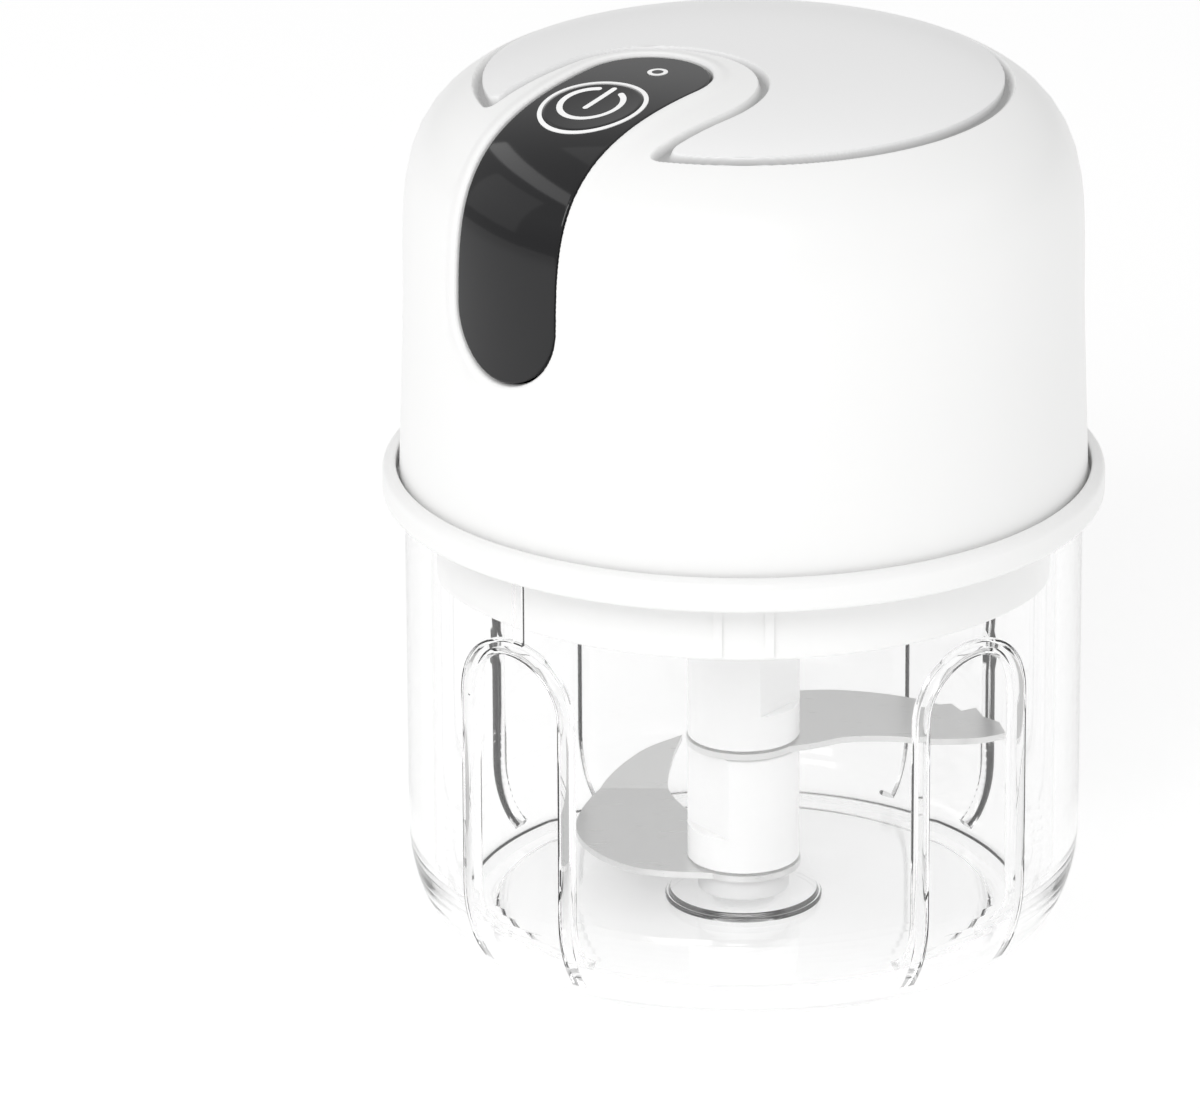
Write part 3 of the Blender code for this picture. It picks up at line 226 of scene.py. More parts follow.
def guarded(profile, closed):
    """Add points to a profile's straight runs, close to their ends, so that smooth shading stays true."""
    ends = profile[1:] + profile[:1] if closed else profile[1:]
    found = []
    for (x, y), (to_x, to_y) in zip(profile, ends):
        found.append((x, y))
        length = math.hypot(to_x - x, to_y - y)
        if length > 1.0:
            shares = [0.05 / length, 0.3 / length, *np.linspace(0, 1, int(length / 4) + 2)[1:-1],
                      1 - 0.3 / length, 1 - 0.05 / length]
            found += [(x + (to_x - x) * share, y + (to_y - y) * share) for share in shares]
    return found if closed else found + [profile[-1]]


def turned(name, profile, steps=160, closed=False):
    """Turn a profile of (radius, height) in millimetres about Z."""
    profile = guarded(profile, closed)
    points = []
    rows = []
    for radius, height in profile:
        if radius < 1e-6:
            rows.append([len(points)] * steps)
            points.append((0, 0, height))
            continue
        rows.append(list(range(len(points), len(points) + steps)))
        for step in range(steps):
            turn = 2 * math.pi * step / steps
            points.append((radius * math.cos(turn), radius * math.sin(turn), height))
    pairs = list(zip(rows, rows[1:]))
    if closed:
        pairs.append((rows[-1], rows[0]))
    faces = []
    for upper, lower in pairs:
        for step in range(steps):
            after = (step + 1) % steps
            face = []
            for corner in (upper[step], upper[after], lower[after], lower[step]):
                if corner not in face:
                    face.append(corner)
            if len(face) > 2:
                faces.append(face)
    return set_outward(mesh_from(name, points, faces))


def tube(name, path, radius, sides=4):
    """A round bar along a path in millimetres, as a mesh object that stays out of the picture."""
    curve = bpy.data.curves.new(name, "CURVE")
    curve.dimensions = "3D"
    curve.bevel_depth = radius * 0.001
    curve.bevel_resolution = sides
    curve.use_fill_caps = True
    spline = curve.splines.new("POLY")
    spline.points.add(len(path) - 1)
    for point, place in zip(spline.points, path):
        point.co = (*[0.001 * value for value in place], 1)
    made = link(bpy.data.objects.new(name, curve))
    bpy.context.view_layer.update()
    graph = bpy.context.evaluated_depsgraph_get()
    mesh = bpy.data.meshes.new_from_object(made.evaluated_get(graph))
    bpy.data.objects.remove(made, do_unlink=True)
    return set_outward(mesh)


def box_mesh(name, low, high):
    form = bmesh.new()
    size = [0.001 * (high[axis] - low[axis]) for axis in range(3)]
    middle = [0.0005 * (high[axis] + low[axis]) for axis in range(3)]
    bmesh.ops.create_cube(form, size=1, matrix=Matrix.Translation(middle) @ Matrix.Diagonal((*size, 1)))
    mesh = bpy.data.meshes.new(name)
    form.to_mesh(mesh)
    form.free()
    return mesh


def combined(mesh, operation, tools):
    """Join other solids to a mesh, or cut them from it. Each tool is (mesh, matrix)."""
    base = link(bpy.data.objects.new("base", mesh))
    helpers = []
    for tool, matrix in tools:
        helper = link(bpy.data.objects.new("tool", tool))
        helper.matrix_world = matrix
        boolean = base.modifiers.new("combine", "BOOLEAN")
        boolean.operation = operation
        boolean.solver = "EXACT"
        boolean.object = helper
        helpers.append(helper)
    bpy.context.view_layer.update()
    graph = bpy.context.evaluated_depsgraph_get()
    result = bpy.data.meshes.new_from_object(base.evaluated_get(graph))
    for helper in [base, *helpers]:
        bpy.data.objects.remove(helper, do_unlink=True)
    return result


def principled(name, colour, roughness, **others):
    """A material whose shader holds constant values, set by socket name."""
    paint = bpy.data.materials.new(name)
    paint.use_nodes = True
    shader = paint.node_tree.nodes["Principled BSDF"]
    shader.inputs["Base Color"].default_value = (*colour, 1)
    shader.inputs["Roughness"].default_value = roughness
    for socket, value in others.items():
        shader.inputs[socket.replace("_", " ")].default_value = value
    return paint


def clear_plastic():
    """Clear plastic that lets lamp light through to what is inside and beneath it."""
    paint = principled("clear_plastic", (1.0, 1.0, 1.0), 0.02, IOR=1.47, Transmission_Weight=1.0)
    nodes = paint.node_tree.nodes
    links = paint.node_tree.links
    rays = nodes.new("ShaderNodeLightPath")
    soft = nodes.new("ShaderNodeMath")
    soft.operation = "MAXIMUM"
    through = nodes.new("ShaderNodeBsdfTransparent")
    mix = nodes.new("ShaderNodeMixShader")
    links.new(rays.outputs["Is Shadow Ray"], soft.inputs[0])
    links.new(rays.outputs["Is Diffuse Ray"], soft.inputs[1])
    links.new(soft.outputs["Value"], mix.inputs["Fac"])
    links.new(nodes["Principled BSDF"].outputs["BSDF"], mix.inputs[1])
    links.new(through.outputs["BSDF"], mix.inputs[2])
    links.new(mix.outputs["Shader"], nodes["Material Output"].inputs["Surface"])
    return paint


def arch_path():
    centre = (BOWL_INNER - INNER_CORNER[0], BOWL_FLOOR + INNER_CORNER[1])
    foot = arc(centre, INNER_CORNER[0] - BEAD_IN, INNER_CORNER[1] - BEAD_IN, -62, 0, 10)
    leg = [(radius, ARCH_SPAN, height) for radius, height in foot]
    heights = np.linspace(centre[1] + 4, ARCH_LEVEL - 2, 6)
    leg += [(BOWL_INNER - BEAD_IN, ARCH_SPAN, height) for height in heights]
    crown = [(BOWL_INNER - BEAD_IN, across, height) for across, height in
             arc((0, ARCH_LEVEL), ARCH_SPAN, ARCH_SPAN, 0, 180, 28)]
    other = [(radius, -across, height) for radius, across, height in reversed(leg)]
    path = []
    for radius, across, height in leg + crown + other:
        turn = across / BOWL_INNER
        path.append((radius * math.cos(turn), radius * math.sin(turn), height))
    return path


def make_bowl():
    post = softened([
        (2.2, 2.9, 0), (2.2, 13.9, 0.3), (4.0, 13.9, 0.5), (4.0, 2.9, 0.4), (10.45, 2.9, 0.25),
        (10.45, 2.35, 0.2), (11.0, 2.35, 0.25), (11.0, 1.8, 0),
    ])
    inside = arc((BOWL_INNER - INNER_CORNER[0], BOWL_FLOOR + INNER_CORNER[1]), *INNER_CORNER, -90, 0, 16)
    rim = arc((BOWL_INNER + 0.6, BOWL_RIM - 0.6), 0.6, 0.6, 180, 90, 4)
    rim += arc((BOWL_RADIUS - 0.6, BOWL_RIM - 0.6), 0.6, 0.6, 90, 0, 4)
    outside = arc((BOWL_RADIUS - OUTER_CORNER[0], OUTER_CORNER[1]), *OUTER_CORNER, 0, -90, 18)
    foot = [(35.0, 0), (34.5, 0.5), (0, 0.5)]
    mesh = turned("bowl", [(0, 2.9)] + post + inside + rim + outside + foot, 180)
    tools = []
    path = arch_path()
    for azimuth in (45, 135, 225, 315):
        tools.append((tube("arch", path, BEAD), Matrix.Rotation(math.radians(azimuth), 4, "Z")))
    for azimuth in (47, 227):
        rib = box_mesh("stop_rib", (BOWL_INNER - 0.5, -0.75, 50.2), (BOWL_INNER + 1.7, 0.75, 60.9))
        tools.append((rib, Matrix.Rotation(math.radians(azimuth), 4, "Z")))
    mesh = combined(mesh, "UNION", tools)
    finish_object("bowl_look", mesh, "bowl_body", clear_plastic(), 30, "bowl")


make_bowl()


# Blade set: two steel sheets on a milky hub, with a spacer above each.
# Each spacer has a flat milled down its upper part. The lower blade's tip is folded up.
# The steel is brushed along the blade, as fine streaks in its roughness.

BLADE_REACH = 37.2
BLADE_SHEET = 0.9
SPACER_RADIUS = 7.85
SPACER_BORE = 5.9
LOWER_BLADE_LEVEL = 6.6
UPPER_BLADE_LEVEL = 24.9


def grain_group():
    """A shared effect: fine marks stretched along X, as a value about 1 for roughness."""
    group = bpy.data.node_groups.new("brushed_grain", "ShaderNodeTree")
    group.interface.new_socket("Scale", in_out="INPUT", socket_type="NodeSocketFloat")
    group.interface.new_socket("Amount", in_out="INPUT", socket_type="NodeSocketFloat")
    group.interface.new_socket("Value", in_out="OUTPUT", socket_type="NodeSocketFloat")
    nodes = group.nodes
    links = group.links
    entry = nodes.new("NodeGroupInput")
    leave = nodes.new("NodeGroupOutput")
    place = nodes.new("ShaderNodeTexCoord")
    stretch = nodes.new("ShaderNodeMapping")
    stretch.inputs["Scale"].default_value = (0.06, 1.0, 1.0)
    noise = nodes.new("ShaderNodeTexNoise")
    noise.inputs["Detail"].default_value = 3.0
    spread = nodes.new("ShaderNodeMapRange")
    low = nodes.new("ShaderNodeMath")
    low.operation = "SUBTRACT"
    low.inputs[0].default_value = 1.0
    high = nodes.new("ShaderNodeMath")
    high.operation = "ADD"
    high.inputs[0].default_value = 1.0
    links.new(place.outputs["Object"], stretch.inputs["Vector"])
    links.new(stretch.outputs["Vector"], noise.inputs["Vector"])
    links.new(entry.outputs["Scale"], noise.inputs["Scale"])
    links.new(entry.outputs["Amount"], low.inputs[1])
    links.new(entry.outputs["Amount"], high.inputs[1])
    links.new(noise.outputs["Fac"], spread.inputs["Value"])
    links.new(low.outputs["Value"], spread.inputs["To Min"])
    links.new(high.outputs["Value"], spread.inputs["To Max"])
    links.new(spread.outputs["Result"], leave.inputs["Value"])
    return group


def brushed_steel():
    paint = principled("blade_steel", (0.76, 0.76, 0.755), 0.3, Metallic=1.0)
    nodes = paint.node_tree.nodes
    links = paint.node_tree.links
    grain = nodes.new("ShaderNodeGroup")
    grain.node_tree = grain_group()
    grain.inputs["Scale"].default_value = 2600.0
    grain.inputs["Amount"].default_value = 0.06
    rough = nodes.new("ShaderNodeMath")
    rough.operation = "MULTIPLY"
    rough.inputs[1].default_value = 0.28
    links.new(grain.outputs["Value"], rough.inputs[0])
    links.new(rough.outputs["Value"], nodes["Principled BSDF"].inputs["Roughness"])
    return paint


def smooth_path(points, steps):
    """A smooth open curve through the points."""
    path = [Vector(point) for point in points]
    ends = [2 * path[0] - path[1], *path, 2 * path[-1] - path[-2]]
    found = []
    for index in range(1, len(ends) - 2):
        before, here, after, beyond = ends[index - 1:index + 3]
        for step in range(steps):
            t = step / steps
            found.append(0.5 * (2 * here + (after - before) * t
                                + (2 * before - 5 * here + 4 * after - beyond) * t * t
                                + (3 * here - before - 3 * after + beyond) * t ** 3))
    found.append(path[-1])
    return [tuple(point) for point in found]


def lower_outline():
    leading = smooth_path([(0.054, -0.194), (0.269, -0.013), (0.497, 0.097), (0.726, 0.121), (0.890, 0.065),
                           (1.000, 0.000)], 8)
    back = smooth_path([(1.000, 0.000), (0.946, 0.191), (0.796, 0.379), (0.511, 0.532), (0.245, 0.554),
                        (-0.024, 0.419), (-0.167, 0.108)], 10)
    return leading[:-1] + back


def upper_outline():
    leading = smooth_path([(0.000, -0.194), (0.253, -0.099), (0.387, -0.032), (0.556, -0.024),
                           (0.699, -0.054), (0.879, -0.043), (0.989, 0.005)], 8)
    teeth = [(0.973, 0.118), (0.914, 0.177), (0.892, 0.269), (0.833, 0.237), (0.798, 0.312), (0.742, 0.301)]
    back = smooth_path([(0.704, 0.344), (0.530, 0.419), (0.323, 0.457), (0.108, 0.417), (-0.094, 0.263),
                        (-0.177, 0.081)], 10)
    return leading + teeth + back


def sheet_mesh(name, outline, level):
    """A blade cut from sheet about a round hub ring with a hole in it."""
    form = bmesh.new()
    reach = 0.001 * BLADE_REACH
    made = [form.faces.new([form.verts.new((x * reach, y * reach, 0.001 * level)) for x, y in outline])]
    raised = bmesh.ops.extrude_face_region(form, geom=made)
    for piece in raised["geom"]:
        if isinstance(piece, bmesh.types.BMVert):
            piece.co.z += 0.001 * BLADE_SHEET
    bmesh.ops.recalc_face_normals(form, faces=form.faces)
    mesh = bpy.data.meshes.new(name)
    form.to_mesh(mesh)
    form.free()
    still = Matrix.Identity(4)
    disc = turned("disc", [(0, level + BLADE_SHEET), (SPACER_RADIUS + 0.15, level + BLADE_SHEET),
                           (SPACER_RADIUS + 0.15, level), (0, level)], 96)
    hole = turned("hole", [(0, level + 2), (5.9, level + 2), (5.9, level - 1), (0, level - 1)], 64)
    return combined(combined(mesh, "UNION", [(disc, still)]), "DIFFERENCE", [(hole, still)])


def fold_tip(mesh):
    turn = math.radians(-14)
    direction = Vector((math.cos(turn), math.sin(turn), 0))
    start = 0.001 * 0.675 * BLADE_REACH
    form = bmesh.new()
    form.from_mesh(mesh)
    geometry = form.verts[:] + form.edges[:] + form.faces[:]
    bmesh.ops.bisect_plane(form, geom=geometry, plane_co=direction * start, plane_no=direction)
    for vertex in form.verts:
        beyond = vertex.co.dot(direction) - start
        if beyond > 0:
            vertex.co.z += beyond * math.tan(math.radians(20))
    form.to_mesh(mesh)
    form.free()


def soften_edges(made, width):
    bevel = made.modifiers.new("soft_edges", "BEVEL")
    bevel.width = 0.001 * width
    bevel.segments = 2
    bevel.limit_method = "ANGLE"
    bevel.angle_limit = math.radians(40)


def make_spacer(name, low, high, azimuth, flat_low, paint):
    profile = softened([(SPACER_BORE, high, 0.15), (SPACER_RADIUS, high, 0.25),
                        (SPACER_RADIUS, low, 0.2), (SPACER_BORE, low, 0.15)])
    mesh = turned(name, profile, 96, closed=True)
    flat = box_mesh("flat", (6.3, -20, flat_low), (20, 20, high + 1))
    mesh = combined(mesh, "DIFFERENCE", [(flat, Matrix.Rotation(math.radians(azimuth), 4, "Z"))])
    made = finish_object(name + "_look", mesh, "blade_set", paint, 30, name)
    soften_edges(made, 0.12)


def make_blade_set():
    steel = brushed_steel()
    for name, outline, level, azimuth in (("lower_blade", lower_outline(), LOWER_BLADE_LEVEL, 104),
                                          ("upper_blade", upper_outline(), UPPER_BLADE_LEVEL, 0)):
        mesh = sheet_mesh(name, outline, level)
        if name == "lower_blade":
            fold_tip(mesh)
        mesh.transform(Matrix.Rotation(math.radians(azimuth), 4, "Z"))
        made = finish_object(name + "_look", mesh, "blade_set", steel, 25, name)
        soften_edges(made, 0.10)
    # The milky plastic's slight emission is a painted glow that brightens the spacers.
    milky = principled("milky_plastic", (0.97, 0.97, 0.97), 0.25,
                       IOR=1.45, Transmission_Weight=0.35, Emission_Strength=0.10)
    core_white = principled("hub_white", (0.92, 0.92, 0.92), 0.30, IOR=1.45, Transmission_Weight=0.15)
    make_spacer("lower_spacer", low=7.8, high=24.6, azimuth=-142, flat_low=12.8, paint=milky)
    make_spacer("upper_spacer", low=26.1, high=57.5, azimuth=-36, flat_low=31.1, paint=milky)
    core = softened([
        (5.6, 63.5, 0.3), (5.6, 6.3, 0.2), (6.4, 6.3, 0.2), (6.4, 3.2, 0.3), (4.6, 3.2, 0.2),
        (4.6, 14.5, 0.2), (3.5, 14.5, 0), (3.5, 50.0, 0),
    ])
    mesh = turned("hub_core", [(0, 63.5)] + core + [(0, 50.0)], 96)
    hexagon = turned("hexagon", [(0, 65), (4.8, 65), (4.8, 57), (0, 57)], 6)
    mesh = combined(mesh, "DIFFERENCE", [(hexagon, Matrix.Identity(4))])
    finish_object("hub_core_look", mesh, "blade_set", core_white, 30, "hub_core")


make_blade_set()


# Lid collar: a soft white ring that overhangs the bowl, with a skirt hanging inside the bowl's mouth.
# A short tube hangs from its middle round the hub. Pairs of small lugs stand on the skirt.

LID_OUTER = 50.0
LID_BASE = 62.0
LID_TOP = 66.7
SKIRT_OUTER = 42.55
SKIRT_WALL = 1.6
SKIRT_BASE = 53.0


def soft_grain_group():
    """A shared effect: the faint texture of moulded plastic, as a normal."""
    group = bpy.data.node_groups.new("moulded_texture", "ShaderNodeTree")
    group.interface.new_socket("Scale", in_out="INPUT", socket_type="NodeSocketFloat")
    group.interface.new_socket("Strength", in_out="INPUT", socket_type="NodeSocketFloat")
    group.interface.new_socket("Normal", in_out="OUTPUT", socket_type="NodeSocketVector")
    nodes = group.nodes
    links = group.links
    entry = nodes.new("NodeGroupInput")
    leave = nodes.new("NodeGroupOutput")
    place = nodes.new("ShaderNodeTexCoord")
    noise = nodes.new("ShaderNodeTexNoise")
    noise.inputs["Detail"].default_value = 2.0
    bump = nodes.new("ShaderNodeBump")
    bump.inputs["Distance"].default_value = 0.00002
    links.new(place.outputs["Object"], noise.inputs["Vector"])
    links.new(entry.outputs["Scale"], noise.inputs["Scale"])
    links.new(noise.outputs["Fac"], bump.inputs["Height"])
    links.new(entry.outputs["Strength"], bump.inputs["Strength"])
    links.new(bump.outputs["Normal"], leave.inputs["Normal"])
    return group


def moulded(name, colour, roughness, scale, strength, **others):
    """Plastic with the shared moulded texture."""
    paint = principled(name, colour, roughness, **others)
    nodes = paint.node_tree.nodes
    texture = nodes.new("ShaderNodeGroup")
    texture.node_tree = bpy.data.node_groups.get("moulded_texture") or soft_grain_group()
    texture.inputs["Scale"].default_value = scale
    texture.inputs["Strength"].default_value = strength
    paint.node_tree.links.new(texture.outputs["Normal"], nodes["Principled BSDF"].inputs["Normal"])
    return paint


def make_lid():
    profile = softened([
        (48.1, LID_TOP - 0.1, 0.35), (LID_OUTER, LID_TOP, 1.3), (LID_OUTER, LID_BASE, 0.9),
        (46.0, LID_BASE, 0), (46.0, 62.9, 0), (44.3, 62.9, 0), (44.3, LID_BASE, 0),
        (SKIRT_OUTER, LID_BASE, 0), (SKIRT_OUTER, SKIRT_BASE, 0.45),
        (SKIRT_OUTER - SKIRT_WALL, SKIRT_BASE, 0.3), (SKIRT_OUTER - SKIRT_WALL, LID_BASE, 0.3),
        (8.2, LID_BASE, 0.3), (8.2, 58.3, 0.3), (6.2, 58.3, 0.3), (6.2, 64.0, 0.3), (48.1, 64.0, 0.2),
    ])
    mesh = turned("lid_collar", profile, 180, closed=True)
    tools = []
    for side in (-90, 90):
        for offset in (-3.4, 3.4):
            lug = box_mesh("lug", (SKIRT_OUTER - 0.8, offset - 0.6, SKIRT_BASE + 0.6),
                           (SKIRT_OUTER + 0.45, offset + 0.6, LID_BASE + 0.4))
            tools.append((lug, Matrix.Rotation(math.radians(side), 4, "Z")))
    mesh = combined(mesh, "UNION", tools)
    white = moulded("white_plastic", (0.93, 0.93, 0.925), 0.33, 9000.0, 0.10, IOR=1.48)
    finish_object("lid_collar_look", mesh, "lid", white, 30, "lid_collar")
    return white


white_plastic = make_lid()


# Dome of the motor head: the shell, and the paler panel on its crown inside a groove.
# One flat map covers the whole dome. A map point's distance from the middle is its distance from the crown.
# Grooves, lips and recesses are depths on that map, and the mesh is finer where a depth changes. The groove
# is also darkened with painted shade.

DOME_BASE = 64.3
DOME_BASE_RADIUS = 47.66
SHOULDER_LEVEL = 90.6
SHOULDER_RADIUS = 46.8
SHOULDER_RISE = 34.7
SHOULDER_FULLNESS = (3.315, 4.54)
PANEL_TURN = math.radians(-130.6)
PANEL_LINE = -2.84
PANEL_HALF = 9.25
PANEL_END = 17.65
PANEL_FOOT = 98.35
GAP_WIDTH = 0.22
GROOVE_RADIUS = 36.9
GROOVE_HALF = 0.6
GROOVE_DEPTH = 1.35
TONGUE_TURN = math.radians(-139.0)
TONGUE_PLACE = (19.3, -0.6)
TONGUE_RADIUS = 15.2
LIP_HEIGHT = 0.34
PORT_LEVEL = 74.3
SHELL_COLOUR = (0.93, 0.93, 0.925)
PANEL_COLOUR = (0.90, 0.90, 0.90)
# The groove's grey is painted shade, the shadow in the groove laid into the colour of the shell and the
# panel.
PAINTED_GROOVE_SHADE = (0.44, 0.44, 0.44)


def dome_table():
    """Steps along the dome's side from the crown: distance, radius, height and the normal's two parts."""
    turn = np.linspace(math.pi / 2, 0, 4000)
    radius = SHOULDER_RADIUS * np.abs(np.cos(turn)) ** (2 / SHOULDER_FULLNESS[0])
    height = SHOULDER_LEVEL + SHOULDER_RISE * np.abs(np.sin(turn)) ** (2 / SHOULDER_FULLNESS[1])
    wall = np.linspace(SHOULDER_LEVEL, DOME_BASE - 6, 300)[1:]
    slope = (DOME_BASE_RADIUS - SHOULDER_RADIUS) / (SHOULDER_LEVEL - DOME_BASE)
    radius = np.concatenate([radius, SHOULDER_RADIUS + (SHOULDER_LEVEL - wall) * slope])
    height = np.concatenate([height, wall])
    length = np.concatenate([[0], np.cumsum(np.hypot(np.diff(radius), np.diff(height)))])
    step = 0.05
    even = np.arange(0, length[-1], step)
    radius = np.interp(even, length, radius)
    height = np.interp(even, length, height)
    window = np.exp(-0.5 * (np.arange(-80, 81) * step / 1.2) ** 2)
    window /= window.sum()
    mirrored = np.concatenate([-radius[80:0:-1], radius, radius[-1] + (radius[-1] - radius[-2:-82:-1])])
    radius = np.convolve(mirrored, window, "valid")
    mirrored = np.concatenate([height[80:0:-1], height, height[-1] + (height[-1] - height[-2:-82:-1])])
    height = np.convolve(mirrored, window, "valid")
    keep = height > DOME_BASE - 0.02
    return even, radius, height, -np.gradient(height, step), np.gradient(radius, step), even[keep][-1]


TABLE_S, TABLE_R, TABLE_Z, TABLE_NR, TABLE_NZ, DOME_EDGE = dome_table()


def along_from_radius(radius):
    return np.interp(radius, TABLE_R, TABLE_S)


def along_from_height(height):
    return np.interp(-height, -TABLE_Z, TABLE_S)


def on_dome(places):
    """Places on the smooth dome and its normals there, for points of the flat map."""
    s = np.hypot(places[:, 0], places[:, 1])
    safe = np.maximum(s, 1e-9)
    cos = np.where(s > 1e-9, places[:, 0] / safe, 1)
    sin = np.where(s > 1e-9, places[:, 1] / safe, 0)
    radius = np.interp(s, TABLE_S, TABLE_R)
    part = np.interp(s, TABLE_S, TABLE_NR)
    spots = np.stack([radius * cos, radius * sin, np.interp(s, TABLE_S, TABLE_Z)], 1)
    normals = np.stack([part * cos, part * sin, np.interp(s, TABLE_S, TABLE_NZ)], 1)
    return spots, normals


def panel_axes(spots):
    """Distances along and across the control strip, seen from above."""
    along = spots[:, 0] * math.cos(PANEL_TURN) + spots[:, 1] * math.sin(PANEL_TURN)
    across = -spots[:, 0] * math.sin(PANEL_TURN) + spots[:, 1] * math.cos(PANEL_TURN)
    return along, across


def strip_distance(spots):
    """How far a place on the dome is outside the control strip's edge; inside is negative."""
    along, across = panel_axes(spots)
    above = np.hypot(np.minimum(along - PANEL_END, 0), across - PANEL_LINE)
    side = np.hypot(across - PANEL_LINE, np.minimum(spots[:, 2] - PANEL_FOOT, 0))
    return np.maximum(above, side) - PANEL_HALF


def crown_distance(spots, s):
    """How far a place is outside the crown panel's recess; inside is negative. The two tips are rounded."""
    along, across = panel_axes(spots)
    turn = TONGUE_TURN - PANEL_TURN
    x = along - TONGUE_PLACE[0]
    y = across - TONGUE_PLACE[1]
    forward = x * math.cos(turn) + y * math.sin(turn)
    aside = -x * math.sin(turn) + y * math.cos(turn)
    tongue = TONGUE_RADIUS - np.hypot(np.minimum(forward, 0), aside)
    disc = s - along_from_radius(GROOVE_RADIUS)
    blend = np.clip(0.5 + 0.5 * (disc - tongue) / 2.4, 0, 1)
    return tongue + (disc - tongue) * blend + 2.4 * blend * (1 - blend)


def box_distance(x, y, half_x, half_y, rounding):
    over_x = np.abs(x) - half_x + rounding
    over_y = np.abs(y) - half_y + rounding
    outside = np.hypot(np.maximum(over_x, 0), np.maximum(over_y, 0))
    return outside + np.minimum(np.maximum(over_x, over_y), 0) - rounding


def smooth_step(low, high, value):
    t = np.clip((value - low) / (high - low), 0, 1)
    return t * t * (3 - 2 * t)


def shell_surface(places):
    """The shell and the crown panel: the dome with its groove, the strip's lip and the port's recess."""
    spots, normals = on_dome(places)
    s = np.hypot(places[:, 0], places[:, 1])
    groove = np.abs(crown_distance(spots, s) + GROOVE_HALF)
    depth = GROOVE_DEPTH * (1 - smooth_step(GROOVE_HALF - 0.25, GROOVE_HALF + 0.25, groove))
    strip = strip_distance(spots)
    depth -= LIP_HEIGHT * smooth_step(0.0, 0.9, strip) * (1 - smooth_step(1.1, 2.9, strip))
    depth += 1.3 * (1 - smooth_step(GAP_WIDTH, GAP_WIDTH + 0.12, strip))
    found = spots - normals * depth[:, None]
    back = found[:, 1] > 30
    port = box_distance(found[:, 0], found[:, 2] - PORT_LEVEL, 7.8, 4.8, 0.8)
    slot = box_distance(found[:, 0], found[:, 2] - PORT_LEVEL, 5.2, 2.3, 0.8)
    level = 45.06 - 2.2 * (1 - smooth_step(-0.15, 0.15, slot))
    share = (1 - smooth_step(-0.15, 0.15, port)) * back
    found[:, 1] += (level - found[:, 1]) * share
    return found


def groove_shade(places):
    """How much painted shade a place gets: one inside the groove and nothing on open surface."""
    spots, _ = on_dome(places)
    s = np.hypot(places[:, 0], places[:, 1])
    groove = np.abs(crown_distance(spots, s) + GROOVE_HALF)
    return 1 - smooth_step(GROOVE_HALF - 0.35, GROOVE_HALF + 0.15, groove)


def shell_spacing(places):
    """How fine the mesh is at each map point."""
    spots, _ = on_dome(places)
    s = np.hypot(places[:, 0], places[:, 1])
    groove = np.abs(np.abs(crown_distance(spots, s) + GROOVE_HALF) - GROOVE_HALF)
    strip = strip_distance(spots)
    lip = np.where(strip < 3.0, np.maximum(np.abs(strip - GAP_WIDTH) * 0.5, 0.0), 9)
    away = np.where(spots[:, 1] > 30, 0, 9)
    port = np.abs(box_distance(spots[:, 0], spots[:, 2] - PORT_LEVEL, 7.8, 4.8, 0.8)) + away
    slot = np.abs(box_distance(spots[:, 0], spots[:, 2] - PORT_LEVEL, 5.2, 2.3, 0.8)) + away
    nearest = np.minimum(np.minimum(groove, lip), np.minimum(port, slot))
    return np.clip(0.22 + 0.45 * np.maximum(nearest - 0.3, 0), 0.22, 2.6)


def graded_points(spacing, reach):
    """Corners of squares over the map, halved until each is as fine as the spacing asks."""
    size = 3.2
    count = int(math.ceil(reach / size))
    line = (np.arange(-count, count) + 0.5) * size
    cells = np.stack(np.meshgrid(line, line), -1).reshape(-1, 2)
    corners = []
    while len(cells):
        fine = spacing(cells) < size * 0.75
        done = cells[~fine] if size > 0.21 else cells
        for x, y in ((-1, -1), (-1, 1), (1, -1), (1, 1)):
            corners.append(done + np.array([x, y]) * size / 2)
        if size <= 0.21:
            break
        parts = cells[fine]
        size /= 2
        cells = np.concatenate([parts + np.array([x, y]) * size / 2
                                for x, y in ((-1, -1), (-1, 1), (1, -1), (1, 1))])
    found = np.unique(np.round(np.concatenate(corners), 4), axis=0)
    return found[np.hypot(found[:, 0], found[:, 1]) < reach]


def strip_outline(half, step=0.3):
    """The control strip's edge on the map, for a strip of this half width."""
    places = []

    def put(s, across):
        radius = np.interp(s, TABLE_S, TABLE_R)
        turn = PANEL_TURN + math.asin(across / radius)
        places.append((s * math.cos(turn), s * math.sin(turn)))

    count = int(math.pi * half / step)
    for angle in np.linspace(math.pi / 2, 3 * math.pi / 2, count):
        along = PANEL_END + half * math.cos(angle)
        across = PANEL_LINE + half * math.sin(angle)
        s = float(along_from_radius(math.hypot(along, across)))
        turn = PANEL_TURN + math.atan2(across, along)
        places.append((s * math.cos(turn), s * math.sin(turn)))
    foot = float(along_from_height(PANEL_FOOT))
    edge = PANEL_LINE - half
    start = float(along_from_radius(math.hypot(PANEL_END, edge)))
    for s in np.arange(start + step, foot, step):
        put(s, edge)
    for angle in np.linspace(math.pi, 0, count):
        height = PANEL_FOOT - half * math.sin(angle)
        put(float(along_from_height(height)), PANEL_LINE + half * math.cos(angle))
    edge = PANEL_LINE + half
    start = float(along_from_radius(math.hypot(PANEL_END, edge)))
    for s in np.arange(foot - step, start, -step):
        put(s, edge)
    return np.array(places)


def triangulated(points, loops):
    """Triangles over map points, with the edges of closed loops kept."""
    edges = []
    places = [points]
    count = len(points)
    for loop in loops:
        edges += [(count + index, count + (index + 1) % len(loop)) for index in range(len(loop))]
        places.append(loop)
        count += len(loop)
    every = np.concatenate(places)
    result = delaunay_2d_cdt([Vector(place) for place in every.tolist()], edges, [], 0, 1e-6, True)
    found = np.array([tuple(place) for place in result[0]])
    return found, np.array(result[2])


